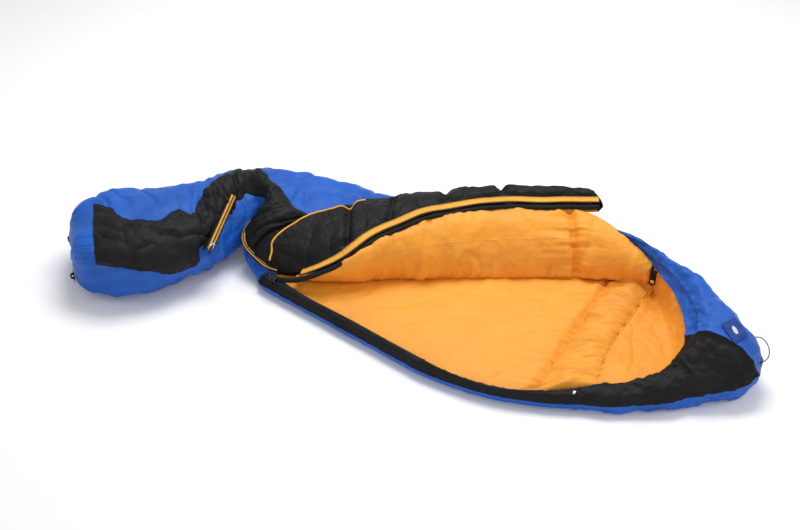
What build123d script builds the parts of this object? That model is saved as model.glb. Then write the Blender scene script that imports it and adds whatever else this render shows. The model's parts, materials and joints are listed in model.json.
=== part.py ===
"""Mummy sleeping bag, laid open on the floor: lid folded back, foot end bent forward.

Units are millimetres, +Z is up and the bag rests on Z = 0.  The plan is laid out from the lower
end of the zip opening, where both lid folds start, and is then placed so that the origin of the
frame is the bottom centre of the bag's own bounding box.
"""
from build123d import *
import math
import os

# ---- driving dimensions -------------------------------------------------------------------
plan_origin = (-417.2, -225.2)      # place of the zip's lower end in the frame
skin = 3.0                         # a fabric layer with its quilting allowance
lower_top = 48.0                   # top of the lower quilt
space = 22.0                       # sleeping space left between lower quilt and lid
loft_height = 50.0                 # thickness of the upper quilt and of each lid flap
layer_gap = 5.0                    # air between folded layers
fold_setback = 8.0                 # distance from a flap's edge to its fold line
upper_floor = lower_top + space
upper_top = upper_floor + loft_height
fold_z = upper_top + layer_gap / 2
turn_z = fold_z + loft_height + layer_gap

fold_angle = 25.9                  # line where the lid turns back over the upper quilt
panel_angle = 18.2                 # width of the lid's inner flap, seen from the zip's end
lid_start = 150.0                  # the quilted lid begins this far along from the zip's end
neck_x = 1078.0                    # neck edge of the closed lid
collar_x = 985.0                   # seam between body and collar
collar_seam = 4.0
hood_x = 1105.0                    # where the hood walls begin

chain_inset = 8.0                  # zip chain, in from the bag's edge
lid_inset = 26.0                   # lid's quilted edge, in from the bag's edge
coil_width = 5.0
coil_height = 5.0
tape_thickness = 1.2
lower_coil_z = lower_top + 14.0    # underside of the lower coil
upper_coil_z = lower_coil_z + coil_height + 4.0
draft_inset = 14.0
draft_width = 20.0
band_end_x = 1040.0
collar_inset = 58.0
draft_height = 8.0
hem_height = 8.0

cord_diameter = 3.0
beyond, above = 900, 260          # cutting shapes reach this far past the bag, in plan and in height
pin_radius = 0.9                   # pins that the slider pulls hang on
eye_radius = 1.1                   # holes of the pulls
strap_thickness = 2.0

# ---- plan outlines as (corner, fillet radius), from the zip's lower end -----------------------
bag_outline = [
    ((0, 0), 12), ((800, -168), 800), ((1225, -5), 500), ((1490, 200), 70), ((1495, 290), 60),
    ((1300, 440), 400), ((1050, 560), 500), ((600, 598), 900), ((-100, 500), 300),
    ((-240, 440), 60), ((-190, 190), 30),
]
near_edge = [(0, 0), (800, -168), (1225, -5)]
near_radius = 800.0
hood_mouth = [
    ((850, -30), 20), ((1050, -45), 90), ((1190, 15), 160), ((1325, 120), 130),
    ((1320, 330), 150), ((1170, 465), 120), ((850, 490), 20),
]
rim_low = 58.0                     # hood height on the near side
rim_slope = 0.22                   # how the hood's rim climbs towards the far side
rim_bend_y = -8.0
hood_colour_y = 230.0              # seam between the hood's two shell panels

# foot section: centre x, y, heading, half width, half height
foot_stations = [
    (-571, -193, 38, 130, 92), (-505, -140, 38, 182, 110), (-410, -60, 42, 205, 115),
    (-320, 45, 54, 178, 115), (-262, 170, 68, 132, 110), (-226, 288, 78, 124, 102),
    (-178, 390, 62, 108, 88),
]
foot_loft = 34.0
end_panel_thickness = 10.0
mouth_overrun = 0.2                # inner layers are cut clear through the foot tube's mouth
# the near and upper side of the foot section, covered by the tough panel
foot_panel_plan = [
    (-540, -150), (-430, -70), (-335, 40), (-275, 170), (-235, 330), (-60, 330), (-60, -120),
    (-300, -360), (-480, -320),
]
foot_panel_floor = 60.0

chain_start = Vector(-143, -58, 152)     # closed zip chain on the foot section
chain_end = Vector(-190, 186, 226)

# the hood cord's loop at the tip, from the cord lock to the eyelet
hood_cord_route = [
    (1470, 316, 138), (1487, 338, 134), (1514, 334, 119), (1530, 306, 105), (1523, 274, 97),
    (1497, 254, 96),
]

solids = {}


# ---- helpers ----------------------------------------------------------------------------------
def add(name, shape):
    solids[name] = shape


def heading(angle):
    return Vector(math.cos(math.radians(angle)), math.sin(math.radians(angle)), 0)


def rounded_face(corners):
    points = [corner[0] for corner in corners]
    radii = [corner[1] for corner in corners]
    return make_face(FilletPolyline(*points, radius=radii, close=True))


def polygon(points):
    return make_face(Polyline(*points, close=True))


def slab(face, low, high):
    return extrude(face.moved(Location((0, 0, low))), amount=high - low, dir=(0, 0, 1))


def block(low, high):
    size = [b - a for a, b in zip(low, high)]
    middle = [(a + b) / 2 for a, b in zip(low, high)]
    return Pos(*middle) * Box(*size)


def rod(start, end, radius):
    """Round bar between two points."""
    start, end = Vector(*start), Vector(*end)
    plane = Plane(origin=start, z_dir=end - start)
    return extrude(plane * Circle(radius), amount=(end - start).length)


def edge_line(inset):
    """Control points of the bag's near edge, moved inward."""
    points = [Vector(*p) for p in near_edge]
    normals = []
    for a, b in zip(points, points[1:]):
        run = (b - a).normalized()
        normals.append(Vector(-run.Y, run.X))
    mitre = (normals[0] + normals[1]).normalized()
    return (points[0] + normals[0] * inset,
            points[1] + mitre * (inset / mitre.dot(normals[0])),
            points[2] + normals[1] * inset)


def edge_path(inset):
    return FilletPolyline(*edge_line(inset), radius=near_radius - inset)


def edge_band(outer, inner, first_x, last_x):
    """Strip of the plan between two insets of the near edge."""
    a, b = edge_line(outer), edge_line(inner)
    face = make_face(edge_path(outer) + edge_path(inner) + Line(a[0], b[0]) + Line(a[2], b[2]))
    window = polygon([(first_x, -400), (last_x, -400), (last_x, 400), (first_x, 400)])
    return face & window


def inside_near_edge(inset):
    start, _, end = edge_line(inset)
    return make_face(edge_path(inset) + Polyline(end, (end.X, beyond), (-200, beyond), start))


def half_plane(angle, setback):
    """Everything on the far side of a ray from the zip's lower end."""
    along, across = heading(angle), heading(angle + 90)
    a = along * -900 + across * setback
    b = along * 2500 + across * setback
    return polygon([a, b, b + across * 3000, a + across * 3000])


def sector(low_angle, high_angle, first_x, last_x):
    """Plan of a flap between two rays, set back from both, between two X lines."""
    corners = []
    for angle, offset, xs in ((low_angle, fold_setback, (first_x, last_x)),
                              (high_angle, -fold_setback, (last_x, first_x))):
        slope = math.tan(math.radians(angle))
        rise = offset / math.cos(math.radians(angle))
        corners += [(x, slope * x + rise) for x in xs]
    return polygon(corners)


# ---- the lid is drawn closed and then folded to where it rests -----------------------------------
closed_turn_angle = fold_angle - panel_angle
fold_axis = Axis((0, 0, fold_z), heading(fold_angle))
closed_turn_axis = Axis((0, 0, 2 * fold_z - turn_z), heading(closed_turn_angle))


def fold_inner(shape):
    return shape.rotate(fold_axis, 180)


def fold_outer(shape):
    return shape.rotate(closed_turn_axis, 180).rotate(fold_axis, 180)


# ---- foot section --------------------------------------------------------------------------------
def foot_tube(shrink):
    """Closed tube through the foot stations, smaller all round by shrink."""
    sections = []
    for index, (x, y, angle, half_width, half_height) in enumerate(foot_stations):
        centre = Vector(x, y, half_height)
        if index == len(foot_stations) - 1:
            centre += heading(angle) * shrink * mouth_overrun
        plane = Plane(origin=centre, x_dir=heading(angle - 90), z_dir=heading(angle))
        sections.append(plane * Ellipse(half_width - shrink, half_height - shrink))
    return loft(sections)


def build_foot():
    outer = foot_tube(0)
    shell_inside = foot_tube(skin)
    fill_inside = foot_tube(skin + foot_loft)
    hollow = foot_tube(2 * skin + foot_loft)
    panel_zone = slab(polygon(foot_panel_plan), foot_panel_floor, above)
    shell = outer - shell_inside
    add("foot_shell", shell - panel_zone)
    add("foot_top_panel", shell & panel_zone)
    add("foot_fill", (shell_inside - fill_inside) & outer)
    add("foot_lining", (fill_inside - hollow) & outer)
    x, y, angle, half_width, half_height = foot_stations[0]
    face_plane = Plane(origin=Vector(x, y, half_height), x_dir=heading(angle - 90),
                       z_dir=-heading(angle))
    add("foot_end_panel", extrude(face_plane * Ellipse(half_width, half_height),
                                  amount=end_panel_thickness))
    return outer


def build_foot_zip(foot_outer):
    along = (chain_end - chain_start).normalized()
    length = (chain_end - chain_start).length
    outward = Vector(0.62, -0.1, 0.78)
    outward = (outward - along * outward.dot(along)).normalized()
    place = Plane(origin=chain_start, x_dir=along, z_dir=outward)

    def local(low, high):
        return place * block(low, high)

    pin_x, pin_z = 12, 11.6
    tape_half, rail = 17, 2                    # half width of the tape, width of the rails it stands on
    add("foot_zip_placket", local((-24, -tape_half, -30), (length + 20, tape_half, 0)) - foot_outer)
    tape = local((-20, -tape_half, 3), (length + 18, tape_half, 4))
    for side in (-1, 1):
        inner, outer = sorted((side * (tape_half - rail), side * tape_half))
        tape += local((-20, inner, 0), (length + 18, outer, 3))
    add("foot_zip_tape", tape)
    add("foot_zip_chain", local((0, -3, 4), (length + 12, 3, 6.5)))
    add("foot_zip_stop", local((-5, -4, 4), (0, 4, 7.5)))
    back, front, cheek, channel = 2, 22, 6.5, 4
    body = local((back, -cheek, 7.2), (front, cheek, 8.8))
    for side in (-1, 1):
        inner, outer = sorted((side * channel, side * cheek))
        body += local((back, inner, 4.6), (front, outer, 7.2))
        inner, outer = sorted((side * 2.4, side * channel))
        body += local((pin_x - 3, inner, 8.8), (pin_x + 3, outer, pin_z + 2))
    pin = place * (Pos(pin_x, 0, pin_z) * Rot(90, 0, 0) * Cylinder(pin_radius, 8))
    add("foot_slider", body - pin)
    add("foot_slider_wing", local((back, -cheek, 0.6), (front, cheek, 2.4)))
    add("foot_pull_pin", pin)
    eye = Pos(pin_x, 0, pin_z) * Rot(90, 0, 0) * (Cylinder(2.2, 4) - Cylinder(eye_radius, 4))
    blade = (block((pin_x - 36, -3.5, pin_z - 0.8), (pin_x - 3.6, 3.5, pin_z + 0.8))
             - Pos(pin_x - 30, 0, pin_z) * Cylinder(2, 4))
    neck = block((pin_x - 3.6, -2, pin_z - 0.8), (pin_x - 1.6, 2, pin_z + 0.8))
    add("foot_pull", place * (eye + blade + neck))


def build_foot_loops():
    """Hanging loop on the end panel and the webbing tab with its ring near the floor."""
    x, y, angle = foot_stations[0][:3]
    out = -heading(angle)
    side = heading(angle - 90)
    face = Vector(x, y, 0) + out * end_panel_thickness

    def ring(centre, radius, width, low):
        plane = Plane(origin=centre, x_dir=out, z_dir=(0, 0, 1))
        band = Circle(radius) - Circle(radius - strap_thickness)
        half = Pos(radius, 0) * Rectangle(2 * radius, 4 * radius)
        flat = extrude(plane * (band & half), amount=width)
        return flat.moved(Location((0, 0, low)))

    hang_at, floor_at = face - side * 55, face + side * 84
    add("foot_hang_loop", ring(hang_at, 16, 10, 96))
    add("foot_floor_loop", ring(floor_at, 13, 8, 52))
    tab_plane = Plane(origin=floor_at + Vector(0, 0, 60), x_dir=side, z_dir=out)
    tab = polygon([(-15, -24), (15, -24), (0, 24)])
    add("foot_web_tab", extrude(tab_plane * tab, amount=1.5)
        - solids["foot_floor_loop"])


# ---- quilts -----------------------------------------------------------------------------------------
def build_lower(outline, foot_outer):
    inside = offset(outline, -skin, kind=Kind.INTERSECTION)
    add("lower_shell", slab(outline, 0, lower_top) - slab(inside, skin, lower_top) - foot_outer)
    add("lower_fill", slab(inside, skin, lower_top - skin) - foot_outer)
    add("lower_lining", slab(inside, lower_top - skin, lower_top) - foot_outer)
    collar = polygon([(collar_x, -200), (neck_x - 20, -200), (neck_x - 6, 480), (collar_x + 8, 400)])
    collar = collar & inside_near_edge(collar_inset)
    add("lower_collar", slab(collar, lower_top, lower_top + 12))
    add("lower_draft_band", slab(edge_band(draft_inset, draft_inset + draft_width, 60, band_end_x),
                                 lower_top, lower_top + draft_height))


def build_upper(outline, foot_outer):
    closed_side = half_plane(fold_angle, fold_setback)
    window = polygon([(-400, -200), (hood_x, -200), (hood_x, 800), (-400, 800)])
    plan = outline & closed_side & window
    baffle = plan - offset(outline, -16, kind=Kind.INTERSECTION)
    add("side_baffle", slab(baffle, lower_top, upper_floor) - foot_outer)
    heights = (("upper_lining", upper_floor, upper_floor + skin),
               ("upper_fill", upper_floor + skin, upper_top - skin),
               ("upper_shell", upper_top - skin, upper_top))
    for name, low, high in heights:
        add(name, slab(plan, low, high) - foot_outer)


def build_lid():
    layers = (("lining", upper_floor, upper_floor + skin),
              ("fill", upper_floor + skin, upper_top - skin),
              ("shell", upper_top - skin, upper_top))
    inner = sector(closed_turn_angle, fold_angle, lid_start - 30, neck_x)
    below_turn = sector(closed_turn_angle - 60, closed_turn_angle, lid_start, neck_x)
    outer = inside_near_edge(lid_inset) & below_turn
    body_zone = polygon([(0, -beyond), (collar_x, -beyond), (collar_x, beyond), (0, beyond)])
    collar_zone = polygon([(collar_x + collar_seam, -beyond), (neck_x, -beyond), (neck_x, beyond),
                           (collar_x + collar_seam, beyond)])
    for flap, plan, fold in (("inner", inner, fold_inner), ("outer", outer, fold_outer)):
        for layer, low, high in layers:
            add(f"lid_{flap}_{layer}", fold(slab(plan & body_zone, low, high)))
        add(f"lid_{flap}_collar", fold(slab(plan & collar_zone, upper_floor, upper_top)))
    tape_low = upper_coil_z + 1
    add("lid_zip_tape", fold_outer(slab(
        edge_band(chain_inset + coil_width / 2, lid_inset, lid_start, neck_x),
        tape_low, tape_low + tape_thickness)))
    add("lid_zip_coil", fold_outer(slab(
        edge_band(chain_inset - coil_width / 2, chain_inset + coil_width / 2, 110, neck_x - 8),
        upper_coil_z, upper_coil_z + coil_height)))
    add("lid_draft_tube", fold_outer(slab(
        edge_band(15, lid_inset, lid_start, collar_x + 60), tape_low + 4, tape_low + 16)))
    add("lid_zip_stop", fold_outer(slab(
        edge_band(chain_inset - 3.5, chain_inset + coil_width / 2, neck_x - 8, neck_x - 2),
        upper_coil_z, upper_coil_z + coil_height + 0.5)))


def build_near_zip():
    add("lower_zip_tape", slab(
        edge_band(chain_inset - tape_thickness / 2, chain_inset + tape_thickness / 2, 20, neck_x),
        lower_top, lower_coil_z))
    add("lower_zip_coil", slab(
        edge_band(chain_inset - coil_width / 2, chain_inset + coil_width / 2, 20, neck_x - 8),
        lower_coil_z, lower_coil_z + coil_height))
    add("lower_zip_stop", slab(
        edge_band(chain_inset - 3.5, chain_inset + 3.5, neck_x - 8, neck_x - 2),
        lower_coil_z, lower_coil_z + coil_height + 0.5))
    along = (Vector(*near_edge[1]) - Vector(*near_edge[0])).normalized()
    place = Plane(origin=edge_line(chain_inset)[0], x_dir=along, z_dir=(0, 0, 1))

    def local(low, high):
        return place * block(low, high)

    back, front, bridge = 36, 58, 48           # slider along the chain, and where its middle wall starts
    cheek, channel, slit = 6.5, 4.6, 1.2       # half widths of body, coil channel and tape slit
    low_side, bridge_top = lower_coil_z - 5, upper_coil_z - 1.5
    body = local((back, -cheek, low_side), (front, -channel, upper_coil_z + 11))
    body += local((back, channel, low_side), (front, cheek - 0.5, bridge_top))
    body += local((bridge, -channel, lower_coil_z + coil_height + 1), (front, channel, bridge_top))
    for low, high in ((-channel, -slit), (slit, channel)):
        body += local((back, low, low_side), (front, high, lower_coil_z - 2))
    pin_x, pin_y, pin_z = 46.5, -9.5, upper_coil_z + 7
    for low in (pin_x - 5, pin_x + 3):
        body += local((low, pin_y - 2, pin_z - 3), (low + 2, -cheek, pin_z + 3))
    pin = place * (Pos(pin_x, pin_y, pin_z) * Rot(0, 90, 0) * Cylinder(pin_radius, 11))
    add("near_slider", body - pin)
    add("near_pull_pin", pin)
    eye = Pos(pin_x, pin_y, pin_z) * Rot(0, 90, 0) * (Cylinder(2.0, 5) - Cylinder(eye_radius, 5))
    blade = block((pin_x - 3, pin_y - 0.8, pin_z - 28), (pin_x + 3, pin_y + 0.8, pin_z - 1.8))
    slot = Pos(pin_x, pin_y, pin_z - 22) * Rot(90, 0, 0) * Cylinder(1.8, 4)
    add("near_pull", place * (eye + (blade - slot)))


# ---- hood ---------------------------------------------------------------------------------------------
def under_rim(raise_by):
    """Everything below the hood's sloping rim."""
    y_far = 700
    profile = Plane.YZ * polygon([
        (-300, lower_top), (y_far, lower_top),
        (y_far, rim_low + raise_by + rim_slope * (y_far - rim_bend_y)),
        (rim_bend_y, rim_low + raise_by), (-300, rim_low + raise_by)])
    return extrude(profile.moved(Location((hood_x, 0, 0))), amount=500, dir=(1, 0, 0))


def rim_z(y):
    return rim_low + rim_slope * max(0.0, y - rim_bend_y)


def build_hood(outline):
    mouth = rounded_face(hood_mouth)
    window = polygon([(hood_x, -beyond), (1700, -beyond), (1700, beyond), (hood_x, beyond)])
    walls = (outline & window) - mouth
    outer_ring = walls - offset(outline, -4, kind=Kind.INTERSECTION)
    mouth_grown = offset(mouth, 4, kind=Kind.INTERSECTION)
    inner_ring = (walls & mouth_grown) - outer_ring
    middle = walls - outer_ring - mouth_grown
    body = under_rim(0)
    shell = slab(outer_ring, lower_top, above) & body
    near_side = block((1000, -400, 0), (1700, hood_colour_y, 300))
    add("hood_lower_panel", shell & near_side)
    add("hood_upper_panel", shell - near_side)
    add("hood_fill", slab(middle, lower_top, above) & body)
    add("hood_lining", slab(inner_ring, lower_top, above) & body)
    hem_plan = walls & offset(mouth, 13, kind=Kind.INTERSECTION)
    add("hood_hem", (slab(hem_plan, lower_top, above) & under_rim(hem_height)) - body)


def build_hood_fittings():
    tilt = math.degrees(math.atan(rim_slope))
    add("hood_patch", Pos(1410, 285, rim_z(285) + 0.8) * Rot(tilt, 0, 0) * Box(62, 46, 1.4))
    lock_axis = Vector(0.61, 0.79, 0)
    nose = Vector(*hood_cord_route[0])
    tail = nose - lock_axis * 20
    bore_depth, bore_radius, button_radius = 12, 4.2, 4.0
    barrel = rod(tail, nose, 7)
    bore = rod(tail, tail + lock_axis * bore_depth, bore_radius)
    add("cord_lock_barrel", barrel - bore)
    add("cord_lock_spring", rod(tail + lock_axis * 6.5, tail + lock_axis * bore_depth, 3.0))
    add("cord_lock_button", rod(tail - lock_axis * 6, tail + lock_axis * 6.4, button_radius))
    eyelet = Vector(1493.5, 254, 96)
    add("hood_eyelet", rod(eyelet, eyelet + Vector(4, 0, 0), 6))
    add("hood_cord", cord(hood_cord_route, cord_diameter))


def cord(route, diameter):
    """Tube along straight runs joined by tangent arcs, as large as the runs allow."""
    points = [Vector(*p) for p in route]
    radii = []
    for a, b, c in zip(points, points[1:], points[2:]):
        turn = (b - a).get_angle(c - b)
        shorter = min((b - a).length, (c - b).length)
        radii.append(0.45 * shorter / math.tan(math.radians(turn / 2)))
    path = FilletPolyline(*points, radius=radii)
    start = Plane(origin=points[0], z_dir=points[1] - points[0])
    tube = sweep(start * Circle(diameter / 2), path=path)
    straight = math.pi * diameter ** 2 / 4 * path.length
    print("cord: arc radii", [round(r, 1) for r in radii], "length", round(path.length, 1),
          "volume against section times length", round(tube.volume / straight, 3))
    return tube


def build_neck_tabs():
    """Press-stud tab on the far side of the neck and hook-and-loop tab on the near side."""
    tab_x, tab_y, tab_top = 1128, 462, 158
    tab_face = tab_y - strap_thickness
    add("neck_tab", block((tab_x - 10, tab_face, tab_top - 52), (tab_x + 10, tab_y, tab_top)))
    stud_z = tab_top - 40
    add("press_stud_cap", rod((tab_x, tab_face, stud_z), (tab_x, tab_face - 3, stud_z), 6.5))
    add("neck_tab_anchor", block((tab_x - 11, tab_y, tab_top - 8), (tab_x + 11, tab_y + 3, tab_top)))
    fold_x, fold_y = 1084, -34
    add("hook_loop_base", block((fold_x - 36, fold_y - 9, lower_top),
                                (fold_x - 4, fold_y + 9, lower_top + 2)))
    add("hook_loop_tab", block((fold_x - 34, fold_y - 8, lower_top + 3),
                               (fold_x, fold_y + 8, lower_top + 5)))


outline = rounded_face(bag_outline)
foot_outer = build_foot()
build_foot_zip(foot_outer)
build_foot_loops()
build_lower(outline, foot_outer)
build_upper(outline, foot_outer)
build_lid()
build_near_zip()
build_hood(outline)
build_hood_fittings()
build_neck_tabs()

os.makedirs("parts", exist_ok=True)
placement = Location((plan_origin[0], plan_origin[1], 0))
for name, shape in solids.items():
    export_step(shape.moved(placement), f"parts/{name}.step")
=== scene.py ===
"""Looks of the mummy sleeping bag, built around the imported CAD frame.

Lengths are metres.  Plan positions are measured from the lower end of the zip opening, where both
lid folds start, with X along the bag towards the hood and Y away from the zip.
"""

import json
import math

import bmesh
import bpy
import numpy as np
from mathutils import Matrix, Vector

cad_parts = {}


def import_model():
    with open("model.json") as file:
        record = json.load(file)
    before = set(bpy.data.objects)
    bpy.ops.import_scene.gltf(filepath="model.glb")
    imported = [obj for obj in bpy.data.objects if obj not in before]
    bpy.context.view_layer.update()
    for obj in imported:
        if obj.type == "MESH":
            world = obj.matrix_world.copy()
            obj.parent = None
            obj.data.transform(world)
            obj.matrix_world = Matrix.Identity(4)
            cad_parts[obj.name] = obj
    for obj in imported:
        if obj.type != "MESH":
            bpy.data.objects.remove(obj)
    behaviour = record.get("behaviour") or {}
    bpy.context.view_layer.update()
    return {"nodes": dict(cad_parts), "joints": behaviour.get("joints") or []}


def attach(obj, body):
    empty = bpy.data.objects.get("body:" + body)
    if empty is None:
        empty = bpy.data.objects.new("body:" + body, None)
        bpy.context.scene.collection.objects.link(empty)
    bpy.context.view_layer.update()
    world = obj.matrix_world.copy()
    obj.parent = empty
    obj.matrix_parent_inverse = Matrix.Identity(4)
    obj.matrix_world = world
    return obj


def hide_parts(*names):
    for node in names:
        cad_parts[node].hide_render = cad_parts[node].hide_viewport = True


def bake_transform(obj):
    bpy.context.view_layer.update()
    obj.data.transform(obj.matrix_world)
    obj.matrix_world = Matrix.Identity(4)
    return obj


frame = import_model()
joints = {joint["name"]: joint for joint in frame["joints"]}
ORIGIN = np.array([*joints["lid_fold"]["pos_m"][:2], 0.0])
FOLD_Z = joints["lid_fold"]["pos_m"][2]
FOLD_DIRECTION = np.array(joints["lid_fold"]["axis"])
FOLD_ACROSS = np.array([-FOLD_DIRECTION[1], FOLD_DIRECTION[0], 0.0])


# ---- numbers and noise ---------------------------------------------------------------------------
def smooth(x, low=0.0, high=1.0):
    t = np.clip((np.asarray(x, float) - low) / (high - low), 0, 1)
    return t * t * (3 - 2 * t)


def relax(values, times):
    """Inner values drawn towards their neighbours, in place."""
    for _ in range(times):
        values[1:-1] = (values[:-2] + 2 * values[1:-1] + values[2:]) / 4


def unit(v):
    length = np.linalg.norm(v, axis=-1, keepdims=True)
    return v / np.maximum(length, 1e-9)


def noise_table(seed):
    rng = np.random.default_rng(seed)
    return rng.permutation(256), unit(rng.normal(size=(256, 3)))


def noise(p, seed=1):
    """Gradient noise at points p, about -1 to 1."""
    order, gradients = noise_table(seed)
    cell = np.floor(p).astype(int)
    f = p - cell
    w = f * f * f * (f * (f * 6 - 15) + 10)
    total = 0
    for dx in (0, 1):
        for dy in (0, 1):
            for dz in (0, 1):
                h = order[(cell[..., 0] + dx) & 255]
                h = order[(h + cell[..., 1] + dy) & 255]
                h = order[(h + cell[..., 2] + dz) & 255]
                offset = f - np.array([dx, dy, dz])
                weight = (np.where(dx, w[..., 0], 1 - w[..., 0])
                          * np.where(dy, w[..., 1], 1 - w[..., 1])
                          * np.where(dz, w[..., 2], 1 - w[..., 2]))
                total = total + weight * (gradients[h] * offset).sum(-1)
    return total * 1.6


def layers(p, size, octaves=3, seed=1, fade=0.5):
    """Several sizes of noise added up; size is the largest one's wavelength, a number or one per axis."""
    total, strength = 0, 1.0
    q = p / np.asarray(size, float)
    for octave in range(octaves):
        total = total + strength * noise(q * 2 ** octave, seed + octave)
        strength *= fade
    return total


def creases(p, size, seed=1, width=0.12):
    """Thin lines, 1 on a crease and 0 away from it."""
    return np.exp(-(noise(p / np.asarray(size, float), seed) / width) ** 2)


# ---- curves and surfaces -------------------------------------------------------------------------
def dense(points, power=0.5):
    """Centripetal Catmull-Rom curve through points, at 24 samples from each point to the next."""
    p = np.array(points, float)
    p = np.vstack([2 * p[0] - p[1], p, 2 * p[-1] - p[-2]])
    samples = []
    for a, b, c, d in zip(p, p[1:], p[2:], p[3:]):
        ta = 0.0
        tb = ta + max(np.linalg.norm(b - a), 1e-6) ** power
        tc = tb + max(np.linalg.norm(c - b), 1e-6) ** power
        td = tc + max(np.linalg.norm(d - c), 1e-6) ** power
        t = np.linspace(tb, tc, 24, endpoint=False)[:, None]
        ab = (tb - t) / (tb - ta) * a + (t - ta) / (tb - ta) * b
        bc = (tc - t) / (tc - tb) * b + (t - tb) / (tc - tb) * c
        cd = (td - t) / (td - tc) * c + (t - tc) / (td - tc) * d
        abc = (tc - t) / (tc - ta) * ab + (t - ta) / (tc - ta) * bc
        bcd = (td - t) / (td - tb) * bc + (t - tb) / (td - tb) * cd
        samples.append((tc - t) / (tc - tb) * abc + (t - tb) / (tc - tb) * bcd)
    return np.vstack(samples + [p[-2][None]])


def curve(points, count):
    return resample(dense(points), count)


def matched(lead, follow, count):
    """Two curves with the same number of points, sampled together at even steps along the first."""
    a, b = dense(lead), dense(follow)
    index = np.arange(len(a))
    along = np.concatenate([[0], np.cumsum(np.linalg.norm(np.diff(a, axis=0), axis=1))])
    at = np.interp(np.linspace(0, along[-1], count), along, index)
    return tuple(np.stack([np.interp(at, index, c[:, k]) for k in range(c.shape[1])], -1) for c in (a, b))


def resample(points, count):
    step = np.linalg.norm(np.diff(points, axis=0), axis=1)
    along = np.concatenate([[0], np.cumsum(step)])
    goal = np.linspace(0, along[-1], count)
    return np.stack([np.interp(goal, along, points[:, k]) for k in range(points.shape[1])], -1)


def rounded(corners):
    """Outline through filleted corners, as dense points."""
    pts = []
    count = len(corners)
    for i, (corner, radius) in enumerate(corners):
        b = np.array(corner, float)
        a = np.array(corners[i - 1][0], float)
        c = np.array(corners[(i + 1) % count][0], float)
        u, v = unit(a - b), unit(c - b)
        half = math.acos(np.clip(u @ v, -1, 1)) / 2
        reach = radius / math.tan(half)
        centre = b + unit(u + v) * radius / math.sin(half)
        start, end = b + u * reach, b + v * reach
        a0 = math.atan2(*(start - centre)[::-1])
        a1 = math.atan2(*(end - centre)[::-1])
        if a1 < a0:
            a1 += 2 * math.pi
        samples = max(4, int(np.ceil((a1 - a0) / 0.06)))
        for angle in np.linspace(a0, a1, samples):
            pts.append(centre + radius * np.array([math.cos(angle), math.sin(angle)]))
    return np.array(pts)


def grid_normals(points, wrap_u=False, wrap_v=False):
    def change(axis, wrap):
        if wrap:
            return np.roll(points, -1, axis) - np.roll(points, 1, axis)
        return np.gradient(points, axis=axis)
    return unit(np.cross(change(0, wrap_u), change(1, wrap_v)))


def raised(points, height, wrap_u=False, wrap_v=False):
    """points moved along their surface normals."""
    return points + grid_normals(points, wrap_u, wrap_v) * np.asarray(height)[..., None]


def grid_faces(rows, columns, wrap_u=False, wrap_v=False, start=0):
    index = np.arange(rows * columns).reshape(rows, columns) + start
    if wrap_u:
        index = np.vstack([index, index[:1]])
    if wrap_v:
        index = np.hstack([index, index[:, :1]])
    return np.stack([index[:-1, :-1], index[1:, :-1], index[1:, 1:], index[:-1, 1:]],
                    -1).reshape(-1, 4)


def make_piece(name, vertices, faces, material, body, slot, replaces=(), merge=1e-5, level=0,
               smooth_faces=True):
    mesh = bpy.data.meshes.new(name)
    mesh.from_pydata([tuple(v) for v in vertices], [], [tuple(int(i) for i in f) for f in faces])
    obj = bpy.data.objects.new(name, mesh)
    bpy.context.scene.collection.objects.link(obj)
    if merge:
        work = bmesh.new()
        work.from_mesh(mesh)
        bmesh.ops.remove_doubles(work, verts=work.verts, dist=merge)
        bmesh.ops.dissolve_degenerate(work, edges=work.edges, dist=merge)
        bmesh.ops.recalc_face_normals(work, faces=work.faces)
        work.to_mesh(mesh)
        work.free()
    mesh.polygons.foreach_set("use_smooth", [smooth_faces] * len(mesh.polygons))
    mesh.materials.append(material)
    if level:
        modifier = obj.modifiers.new("subdivide", "SUBSURF")
        modifier.levels = modifier.render_levels = level
    if body:
        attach(obj, body)
    if replaces:
        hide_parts(*replaces)
    return obj


def world(points):
    return np.asarray(points, float) + ORIGIN


def surface(name, points, material, body, slot, replaces=(), wrap_u=False, wrap_v=False, back=None,
            **more):
    """A sheet from a grid of points; with back, a closed piece between two grids that share edges."""
    rows, columns = points.shape[:2]
    vertices = world(points).reshape(-1, 3)
    faces = grid_faces(rows, columns, wrap_u, wrap_v)
    if back is not None:
        faces = np.vstack([faces, grid_faces(rows, columns, wrap_u, wrap_v, len(vertices))[:, ::-1]])
        vertices = np.vstack([vertices, world(back).reshape(-1, 3)])
    return make_piece(name, vertices, faces, material, body, slot, replaces, **more)


def cloth_shell(points, thickness, wrap_u=False, wrap_v=False):
    """The inner face of a cloth layer: the same grid moved inward, meeting it at open edges."""
    inner = raised(points, -np.full(points.shape[:2], thickness), wrap_u, wrap_v)
    if not wrap_u:
        inner[0], inner[-1] = points[0], points[-1]
    if not wrap_v:
        inner[:, 0], inner[:, -1] = points[:, 0], points[:, -1]
    return inner


def tube_points(path, radius, sides=10, squash=1.0):
    """Rings round a path; radius may be one number per point."""
    path = np.asarray(path, float)
    radius = np.broadcast_to(radius, len(path))
    tangent = unit(np.gradient(path, axis=0))
    side = unit(np.cross(tangent, np.array([0, 0, 1.0]) + 1e-4))
    up = np.cross(side, tangent)
    angle = np.linspace(0, 2 * math.pi, sides, endpoint=False)
    ring = (side[:, None] * np.cos(angle)[None, :, None]
            + up[:, None] * squash * np.sin(angle)[None, :, None])
    return path[:, None] + ring * radius[:, None, None]


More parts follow.
